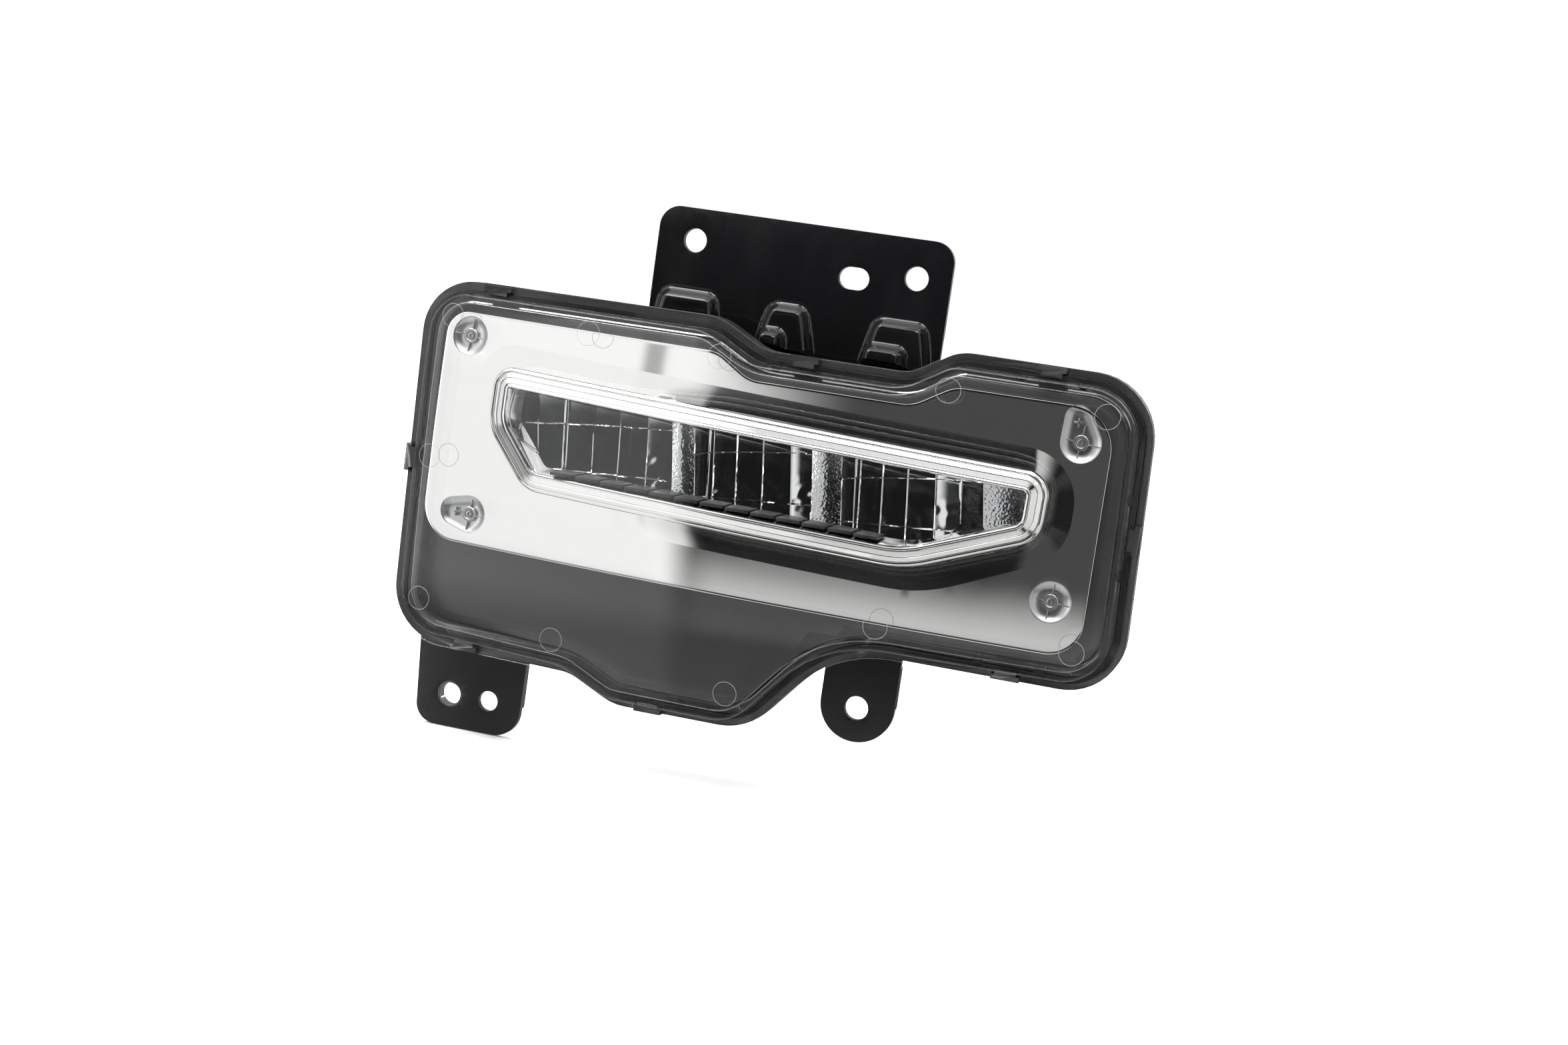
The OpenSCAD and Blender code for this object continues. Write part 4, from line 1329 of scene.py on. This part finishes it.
@dataclass(frozen=True)
class Reflector:
    """Metallised trough: three groups of bowed facets, pebbled strips between them, and a row of black pads
    at the slot's bottom that paint its shade.
    """

    deepest: float = 25.2
    slope: float = 0.10
    bowl: float = 0.0022
    thick: float = 0.6
    seam: float = 0.24
    seam_rise: float = 0.42
    bead_most: float = 0.3
    top: float = 27.4
    bottom: float = -3.2
    # x of each seam at the top and at the bottom of the trough, one group to a row.
    groups: tuple = (
        ((-108.0, -104.0), (-96.5, -90.5), (-86.6, -82.4), (-85.2, -81.0), (-76.2, -71.8), (-66.6, -63.0),
         (-57.0, -53.0), (-48.6, -43.2)),
        ((-41.2, -35.6), (-35.6, -31.8), (-34.0, -29.4), (-26.2, -21.6), (-17.2, -12.6), (-7.8, -2.6),
         (-0.6, 4.6)),
        ((9.2, 14.2), (14.2, 18.2), (16.0, 19.6), (23.4, 27.2), (31.6, 35.6), (40.8, 45.2), (49.2, 53.4),
         (56.2, 61.6)))
    # Degrees by which each facet turns about the upright.
    leans: tuple = (
        (5.0, 3.5, 2.0, 3.4, 3.6, 3.0, 0.2), (1.5, 1.0, 0.8, 0.4, 0.2, -3.0),
        (2.0, 1.0, 0.6, 0.2, -0.6, -5.2, 1.0))
    strips: tuple = (
        ((-48.6, -43.2), (-41.2, -35.6)), ((-0.6, 4.6), (9.2, 14.2)), ((56.2, 61.6), (76.0, 76.0)))
    # z of the upper and of the lower cross seam, at the left and at the right end of a group.
    lines: tuple = ((14.0, 21.0), (1.0, 4.5))
    line_curve: float = 0.7
    tier_cells: tuple = (8, 26, 8)
    facet_cells: int = 12
    turn_height: float = 0.6
    swell: tuple = (0.03, 0.09)
    waves: int = 7
    wave_pitch: tuple = (3.0, 7.5)
    wave_height: float = 0.013
    wave_span: tuple = (16.0, 7.0)
    strip_lift: float = 0.6
    strip_arch: float = 1.6
    strip_taper: float = 0.4
    # Row of black pads along the slot's bottom: painted shade for the dark band there.
    shade_tile_start: float = -82.0
    shade_tile_end: float = 26.0
    shade_tile_pitch: float = 8.6
    shade_tile_width: float = 7.9
    shade_tile_depths: tuple = (7.0, 19.0)
    shade_tile_base: tuple = (-80.0, 2.0)
    shade_tile_slope: float = 0.0306
    shade_tile_below: float = 0.4
    shade_tile_above: float = 0.7
    shade_tile_round: float = 0.15

    def trough(self, z: np.ndarray) -> np.ndarray:
        """Depth of the plain trough at a height."""
        down = self.top - z
        return self.deepest - self.slope * down - self.bowl * down ** 2

    def ripple(self, x: np.ndarray, z: np.ndarray, seed: int) -> np.ndarray:
        """Uneven patches low on the facets, as sums of waves.

        Args:
            x: places across.
            z: their heights.
            seed: seed of the random waves.

        Returns:
            How far back each place lies.
        """
        rng = np.random.default_rng(seed)
        total = np.zeros_like(x)
        for _ in range(self.waves):
            spans = (self.wave_pitch, (0, math.pi), (0, 2 * math.pi))
            pitch, heading, phase = (rng.uniform(*span) for span in spans)
            along = x * math.cos(heading) + z * math.sin(heading)
            total += np.sin(along * 2 * math.pi / pitch + phase)
        return total * self.wave_height * smooth_step(z, *self.wave_span)

    def columns(self, edge_top: np.ndarray) -> tuple[np.ndarray, np.ndarray]:
        """Spreads the grid's columns over a group, with a narrow one on each side of a seam.

        Args:
            edge_top: x of each seam at the top.

        Returns:
            For each grid column, the facet that it lies on and its place across it, from 0 to 1.
        """
        count = len(edge_top) - 1
        cells = self.facet_cells
        across, facet = [], []
        for number in range(count):
            bead = min(self.bead_most, self.seam / max(edge_top[number + 1] - edge_top[number], 1.0))
            between = (number + bead + (1 - 2 * bead) * cell / cells for cell in range(1, cells))
            across += [number, number + bead, *between, number + 1 - bead]
            facet += [number] * (cells + 2)
        across, facet = np.array(across + [count]), np.array(facet + [count - 1])
        return facet, across - facet

    def facets(self, index: int) -> bpy.types.Object:
        """Models one group of facets, each leaning and slightly bowed, with raised seams between them.

        Args:
            index: which group it is.

        Returns:
            The skin, facing forwards.
        """
        edge_top, edge_low = np.array(self.groups[index]).T
        facet, part = self.columns(edge_top)
        x_top = edge_top[facet] + (edge_top[facet + 1] - edge_top[facet]) * part
        x_low = edge_low[facet] + (edge_low[facet + 1] - edge_low[facet]) * part
        share = (x_top - x_top[0]) / (x_top[-1] - x_top[0])
        (upper_left, upper_right), (lower_left, lower_right) = self.lines
        upper = upper_left + (upper_right - upper_left) * share ** self.line_curve
        lower = lower_left + (lower_right - lower_left) * share
        heights = (np.full_like(share, self.top), upper, lower, np.full_like(share, self.bottom))
        slope = np.tan(np.radians(np.array(self.leans[index])))[facet]
        pivot = edge_low + (edge_top - edge_low) * self.turn_height
        middle = (pivot[facet] + pivot[facet + 1]) / 2
        bow = np.random.default_rng(17 + index).uniform(*self.swell, (3, len(edge_top) - 1))
        rows = []
        for tier, (high, low, cells) in enumerate(zip(heights, heights[1:], self.tier_cells)):
            bead = self.seam / float(np.mean(high - low))
            steps = sorted([0.0, bead, *np.linspace(0, 1, cells + 1)[1:-1], 1 - bead])
            for down in steps + ([1.0] if tier == 2 else []):
                z = high + (low - high) * down
                x = x_low + (x_top - x_low) * (z - self.bottom) / (self.top - self.bottom)
                swell = bow[tier][facet] * 4 * part * (1 - part)
                flat = self.trough(z) + slope * (x - middle) - swell
                flat = flat + self.ripple(x, z, index) * (facet >= 2)
                on_seam = (part == 0) | (part == 1) | (down in (0.0, 1.0))
                level = np.where(on_seam, self.trough(z) - self.seam_rise, flat)
                rows.append(np.stack([x, level, z], axis=1))
        made = Bench.sheet("facets", rows, wrapped=False)
        Bench.forward(made)
        return made

    def strip(self, left: tuple[float, float], right: tuple[float, float]) -> bpy.types.Object:
        """Models a pebbled strip that stands forward beside a group.

        Args:
            left: x of its left edge at the top and at the bottom.
            right: x of its right edge at the top and at the bottom.

        Returns:
            The skin, facing forwards.
        """
        across = np.linspace(0.0, 1.0, 20)
        rows = []
        for height in np.linspace(self.top, self.bottom, 40):
            share = (height - self.bottom) / (self.top - self.bottom)
            start, end = (low + (high - low) * share for high, low in (left, right))
            z = np.full(len(across), height)
            taper = self.strip_taper + (1 - self.strip_taper) * share
            level = self.trough(z) - self.strip_lift - self.strip_arch * np.sin(math.pi * across) * taper
            rows.append(np.stack([start + (end - start) * across, level, z], axis=1))
        made = Bench.sheet("strip", rows, wrapped=False)
        Bench.forward(made)
        return made

    def shade_tiles(self) -> list[bpy.types.Object]:
        """Makes the row of low black pads along the bottom of the slot, painted shade for the dark band
        there.

        Returns:
            The pads, from left to right.
        """
        made = []
        for x in np.arange(self.shade_tile_start, self.shade_tile_end, self.shade_tile_pitch):
            level = self.shade_tile_base[1] - self.shade_tile_slope * (x - self.shade_tile_base[0])
            low = (x, self.shade_tile_depths[0], level - self.shade_tile_below)
            high = (x + self.shade_tile_width, self.shade_tile_depths[1], level + self.shade_tile_above)
            made.append(Bench.block(low, high, self.shade_tile_round))
        return made

    def build(self) -> None:
        """Builds the facets, the pebbled strips and the tiles."""
        faces = Bench.join("reflector_facets", *(self.facets(index) for index in range(len(self.groups))))
        Bench.modify(faces, "SOLIDIFY", thickness=self.thick, offset=-1.0)
        Bench.finish(faces, Body.LAMP, Skin.REFLECTOR_CHROME, ["reflector"], angle=20.0)
        strips = Bench.join("reflector_strips", *(self.strip(*pair) for pair in self.strips))
        Bench.modify(strips, "SOLIDIFY", thickness=self.thick, offset=-1.0)
        Bench.finish(strips, Body.LAMP, Skin.REFLECTOR_PEBBLED)
        # Black pads: painted shade along the slot's bottom.
        Bench.finish(Bench.join("slot_shade_tiles", *self.shade_tiles()), Body.LAMP, Skin.HOUSING_BLACK)


@dataclass(frozen=True)
class Bracket:
    """Pressed steel bracket: plate with stamped pads, frame behind the lamp and two lower tabs."""

    front: float = 40.0
    steel: float = 2.5
    sheet: tuple = (
        (-66.5, 94.5, 7), (34.5, 94.5, 7), (34.5, -34, 8), (36.9, -42, 6), (36.9, -73.7, 12.6),
        (11.5, -73.7, 12.6), (11.5, -46, 5), (2, -46, 5), (-6, -58, 5), (-92.8, -58, 4), (-93.4, -95.4, 9),
        (-131.2, -95.4, 7), (-133.6, -56, 10), (-66.5, -34, 12))
    opening: tuple = ((-54, 42, 4), (22, 42, 4), (22, -30, 4), (-54, -30, 4))
    holes: tuple = ((-53.5, 83.8, 4.0), (22.9, 81.6, 4.0), (-119.6, -84, 4.6), (-105.3, -84, 3.5),
                    (24, -62.2, 4.0), (-16, -45, 5.0))
    slot: tuple = (0.6, 78.8, 3.7, 3.6, 78.8, 3.7)
    # Left, right and top of each stamping, how much it widens downwards and how far it stands forward.
    pads: tuple = ((-62, -43.5, 66.8, 2.4, 4.4), (-24.0, -12.4, 67.0, 4.2, 4.4), (11.8, 28.4, 67.0, 3.4, 4.4))
    towers: tuple = ((-26.2, -17.4, 58.8, 1.3, 5.2), (9.8, 23.6, 58.8, 1.6, 5.2))
    pad_corner: float = 3.0
    pad_slope: tuple = (-1.0, 2.2)
    flare_height: float = 14.0
    flare_curve: float = 0.8
    fade_span: tuple = (38.0, 50.0)
    back_inset: float = 1.2
    # Beside the housing the stampings stay low, to leave it room to tilt.
    low_relief: float = 3.0
    full_relief: float = 10.0
    relief_span: tuple = (51.5, 54.0)
    fine_pitch: float = 0.55
    fine_margin: float = 3.0
    fine_low: float = 40.0
    edge_round: float = 0.35
    # Left, right, bottom and top of each folded edge.
    flanges: tuple = ((-131.6, -129.1, -87, -62), (-95.8, -93.3, -85, -60), (11.5, 14, -61, -50),
                      (34.4, 36.9, -61, -46))
    flange_reach: float = 5.0
    flange_round: float = 0.6
    overlap: float = 0.02
    ear_places: tuple = (-56.5, 22.0)
    ear_span: tuple = (6, 24)
    ear_centre: tuple = (52, 15)
    ear_radius: float = 7.0
    ear_hole: float = 3.0

    def relief(self, x: np.ndarray, z: np.ndarray, inner: float = 0.0) -> np.ndarray:
        """How far the stamping stands forward.

        Args:
            x: places across.
            z: their heights.
            inner: how far inside the stamping's outside the relief is taken.

        Returns:
            The relief at each place.
        """
        total = np.zeros_like(x)
        corner = self.pad_corner
        for x0, x1, top, flare, rise in (*self.pads, *self.towers):
            widen = flare * np.clip((top - z) / self.flare_height, 0.0, 1.0) ** self.flare_curve
            left, right = x0 - widen, x1 + widen
            dx = np.maximum(np.maximum(left + corner - x, x - right + corner), 0.0)
            dz = np.maximum(z - top + corner, 0.0)
            away = np.sqrt(dx * dx + dz * dz) - corner + inner
            shoulder = smooth_step(-away, self.pad_slope[0], self.pad_slope[1] + rise * 0.1)
            total = total + rise * shoulder * smooth_step(z, *self.fade_span)
        room = self.low_relief + (self.full_relief - self.low_relief) * smooth_step(z, *self.relief_span)
        return np.minimum(total, room)

    def build(self) -> None:
        """Builds the pressing with its ears and folded edges, and the pins and bushes in it."""
        holes = [Outline.of(self.opening, 3.0).loop(), capsule(*self.slot, 14),
                 *(circle(*hole, 40) for hole in self.holes)]
        margin = self.fine_margin
        fine = [(x0 - flare - margin, x1 + flare + margin, self.fine_low, top + margin, self.fine_pitch)
                for x0, x1, top, flare, _ in self.pads]
        back = self.front + self.steel
        pressing = Bench.slab("bracket_pressing", Outline.of(self.sheet, 3.0).loop(), holes,
                              lambda x, z: self.front - self.relief(x, z),
                              lambda x, z: back - self.relief(x, z, self.back_inset), 4.0, fine)
        Bench.soften(pressing, self.edge_round, 60.0)
        folds = [Bench.block((x0, self.front + self.overlap, z0), (x1, self.front + self.flange_reach, z1),
                             self.flange_round) for x0, x1, z0, z1 in self.flanges]
        whole = Bench.join("bracket_pressing", pressing, *folds, *(self.ear(x) for x in self.ear_places))
        nodes = ["bracket", "left_rail", "right_rail", "cross_member", "left_tab", "right_tab"]
        Bench.finish(whole, Body.BRACKET, Skin.BRACKET_BLACK, nodes, angle=30.0, flat=True)
        for node, skin, width in (("tab_bush", Skin.BUSH_STEEL, 0.12), ("pivot_pins", Skin.ZINC_STEEL, 0.4),
                                  ("aim_screw_bush", Skin.NYLON_WHITE, 0.2)):
            Bench.refine(node, Body.BRACKET, skin, width)

    def ear(self, x: float) -> bpy.types.Object:
        """Makes an ear with a pin hole beside the rear box.

        Args:
            x: its left face.

        Returns:
            The ear.
        """
        depth, z = self.ear_centre
        reach, bore = self.ear_radius, self.ear_hole
        low, high = self.ear_span
        plate = Bench.block((x, self.front + self.overlap, low), (x + self.steel, depth, high))
        section = ((0.0, 0.0), (reach, 0.0), (reach, self.steel), (0.0, self.steel))
        end = Bench.lathe("end", section, (x, depth, z), "X", 48)
        Bench.cut(plate, end, "UNION")
        Bench.cut(plate, Bench.lathe("pin", ((0.0, -1), (bore, -1), (bore, 4), (0.0, 4)), (x, depth, z), "X"))
        Bench.soften(plate, self.edge_round, 40.0)
        return plate


@dataclass(frozen=True)
class Inside:
    """Pieces that keep the CAD shape, with rounded edges."""

    # Node, finish and radius of its edges.
    lamp: tuple = (
        ("housing", Skin.HOUSING_BLACK, 0.4), ("pivot_bushes", Skin.NYLON_WHITE, 0.2),
        ("lens_seal", Skin.SEAL_BLACK, 0.2), ("reflector_screws", Skin.ZINC_STEEL, 0.2),
        ("led_board", Skin.BOARD_WHITE, 0.15), ("leds", Skin.LED_YELLOW, 0.2),
        ("led_board_screws", Skin.ZINC_STEEL, 0.2), ("heat_sink", Skin.CAST_ALUMINIUM, 0.4),
        ("thermal_pad", Skin.PAD_GREY, 0.15), ("heat_sink_gasket", Skin.SEAL_BLACK, 0.2),
        ("heat_sink_screws", Skin.ZINC_STEEL, 0.3), ("driver_board", Skin.BOARD_GREEN, 0.15),
        ("driver_parts", Skin.PARTS_DARK, 0.25), ("driver_screws", Skin.ZINC_STEEL, 0.2),
        ("connector_socket", Skin.HOUSING_BLACK, 0.4), ("connector_terminals", Skin.TERMINAL_BRASS, 0.15),
        ("vent_cap", Skin.PARTS_DARK, 0.4), ("aim_socket", Skin.NYLON_WHITE, 0.3))

    def build(self) -> None:
        """Dresses each node."""
        for node, skin, width in self.lamp:
            Bench.refine(node, Body.LAMP, skin, width)
        Bench.refine("aim_screw", Body.AIM_SCREW, Skin.ZINC_STEEL, 0.3)
        Bench.refine("aim_screw_clip", Body.AIM_SCREW, Skin.BUSH_STEEL, 0.15)
        Bench.refine("aim_nut", Body.AIM_NUT, Skin.NYLON_WHITE, 0.3)


# ---------------------------------------------------------------- studio


@dataclass(frozen=True)
class Card:
    """Soft-edged bright card of the surroundings, placed by azimuth and elevation in degrees.

    Each of its edges is a pair: where the card ends and where it is whole.
    """

    level: float = 1.0
    side: tuple = ()
    lift: tuple = ()

    def glow(self, side: Wire, lift: Wire) -> Wire:
        """Brightness of the card.

        Args:
            side: azimuth of each direction.
            lift: its elevation.

        Returns:
            The brightness in each direction.
        """
        edges = [side.rise(*edge) for edge in self.side] + [lift.rise(*edge) for edge in self.lift]
        return math.prod(edges, start=self.level)


@dataclass(frozen=True)
class Studio:
    """Pale floor, surroundings of bright and dark cards, soft lights and the camera."""

    yaw: float = 13.43
    pitch: float = 6.59
    roll: float = 8.16
    distance: float = 0.7236
    focal: float = 52.56
    floor_z: float = -0.1795
    floor_size: float = 12.0
    target: tuple = (0.02, 0.0, -0.08)
    window: Card = Card(side=((-20.0, -23.0), (-130.0, -110.0)))
    window_fade: Card = Card(side=((-9.0, -24.0), (-130.0, -110.0)), lift=((0.3, 2.0), (9.0, 6.5)))
    window_foot: tuple = (-17.0, -13.0)
    window_below: float = 0.32
    post: Card = Card(0.6, side=((-26.4, -25.6), (-24.0, -24.8)), lift=((-1.0, 1.0), (8.0, 6.0)))
    dark: float = 0.01
    grey: float = 0.06
    grey_upper: Card = Card(lift=((0.0, 1.5),))
    grey_right: Card = Card(side=((0.0, 4.0),), lift=((-14.0, -9.0),))
    grey_top: tuple = (10.0, 6.5)
    cards: tuple = (
        Card(0.6, side=((-24.0, -18.0), (40.0, 20.0)), lift=((-16.0, -14.5), (-8.0, -13.0))),
        Card(1.15, lift=((30.0, 44.0),)),
        Card(0.8, lift=((-32.0, -42.0),)),
        Card(0.95, side=((38.0, 44.0), (76.0, 68.0)), lift=((-34.0, -26.0), (44.0, 36.0))),
        Card(8.0, side=((-100.0, -90.0), (75.0, 65.0)), lift=((52.0, 54.0), (76.0, 74.0))),
        Card(3.0, side=((-66.0, -64.5), (-58.0, -59.5)), lift=((-30.0, -20.0), (50.0, 40.0))),
        Card(3.0, side=((78.0, 79.0), (84.0, 83.0)), lift=((-30.0, -20.0), (50.0, 40.0))),
        Card(0.35, side=((-100.0, -150.0),)),
        Card(0.45, side=((100.0, 150.0),)))
    dull_fill: float = 0.3
    # Name, place, size, power and whether mirrors show it.
    lamps: tuple = (
        ("key", (-0.9, -1.0, 1.2), 1.6, 14.0, False), ("top", (0.1, 0.1, 1.6), 2.4, 20.0, False),
        ("rim", (0.9, 0.9, 0.7), 0.8, 8.0, True))

    def build(self) -> None:
        """Builds the studio."""
        self.camera()
        self.floor()
        self.world()
        self.lights()
        bpy.context.scene.view_settings.view_transform = "Standard"
        bpy.context.scene.cycles.transparent_max_bounces = 16

    def camera(self) -> None:
        """Makes the camera, turned about the lens's crown."""
        yaw, pitch, roll = (math.radians(angle) for angle in (self.yaw, self.pitch, self.roll))
        back = Vector((math.sin(yaw) * math.cos(pitch), -math.cos(yaw) * math.cos(pitch), math.sin(pitch)))
        right = Vector((0, 0, 1)).cross(back).normalized()
        up = back.cross(right)
        x_axis = right * math.cos(roll) + up * math.sin(roll)
        y_axis = back.cross(x_axis)
        camera = bpy.data.objects.new("camera", bpy.data.cameras.new("camera"))
        bpy.context.scene.collection.objects.link(camera)
        turn = Matrix((x_axis, y_axis, back)).transposed().to_4x4()
        camera.matrix_world = Matrix.Translation(DATUM + back * self.distance) @ turn
        camera.data.lens = self.focal
        camera.data.sensor_width = 36.0
        camera.data.clip_start = 0.01
        bpy.context.scene.camera = camera

    def floor(self) -> None:
        """Makes a plain pale floor."""
        Bench.clear()
        bpy.ops.mesh.primitive_plane_add(size=self.floor_size, location=(0, 0, self.floor_z))
        floor = bpy.context.object
        floor.name = "floor"
        paper = Finish("floor_white", (0.93, 0.93, 0.93), rough=0.9, mottle=0.0, relief_mm=0.0)
        floor.data.materials.append(paper.material())
        floor.visible_glossy = False
        floor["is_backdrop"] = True

    def world(self) -> None:
        """Makes the surroundings: white for the camera, cards for everything else."""
        world = bpy.data.worlds.new("studio")
        bpy.context.scene.world = world
        world.use_nodes = True
        paint = Paint(world.node_tree)
        split = paint.node("ShaderNodeSeparateXYZ", None, {0: paint.node("ShaderNodeTexCoord", out=0)})
        across, ahead, high = (Wire(paint, split.socket.node.outputs[index]) for index in range(3))
        degrees = 180.0 / math.pi
        side, lift = across.bearing(0.0 - ahead) * degrees, high.arcsine() * degrees
        window, fade, post, upper, right = (card.glow(side, lift) for card in (
            self.window, self.window_fade, self.post, self.grey_upper, self.grey_right))
        foot = lift.rise(*self.window_foot)
        key = (window + fade * (1.0 - window)) * foot * (1.0 - post)
        low_key = window * (1.0 - foot) * self.window_below
        dim = self.dark + self.grey * (upper + (1.0 - upper) * right) * lift.rise(*self.grey_top)
        total = sum((card.glow(side, lift) for card in self.cards), dim + key + low_key)
        rays = paint.node("ShaderNodeLightPath")
        dull = Wire(paint, rays.socket.node.outputs["Is Diffuse Ray"])
        level = rays + (1.0 - rays) * (total + self.dull_fill * dull)
        paint.feed(world.node_tree.nodes["Background"], {"Color": (1.0, 1.0, 1.0, 1.0), "Strength": level})

    def lights(self) -> None:
        """Adds soft area lights for the dull surfaces."""
        for name, place, size, power, glossy in self.lamps:
            light = bpy.data.lights.new(name, "AREA")
            light.size = size
            light.energy = power
            holder = bpy.data.objects.new(name, light)
            bpy.context.scene.collection.objects.link(holder)
            toward = Vector(self.target) - Vector(place)
            turn = toward.to_track_quat("-Z", "Y").to_matrix().to_4x4()
            holder.matrix_world = Matrix.Translation(place) @ turn
            holder.visible_camera = False
            holder.visible_glossy = glossy


def corners() -> list:
    """The shown object's box as plain lists."""
    return [list(map(float, corner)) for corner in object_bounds()]


def main() -> None:
    """Builds the studio and every sub-assembly."""
    logging.basicConfig(level=logging.INFO, format="%(message)s")
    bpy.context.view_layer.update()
    Studio().build()
    for assembly in (Bracket(), Lens(), Bezel(), MaskPanel(), Reflector(), Inside()):
        assembly.build()
    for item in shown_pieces():
        LOG.info("shown: %s", item.name)


if __name__ == "__main__":
    main()
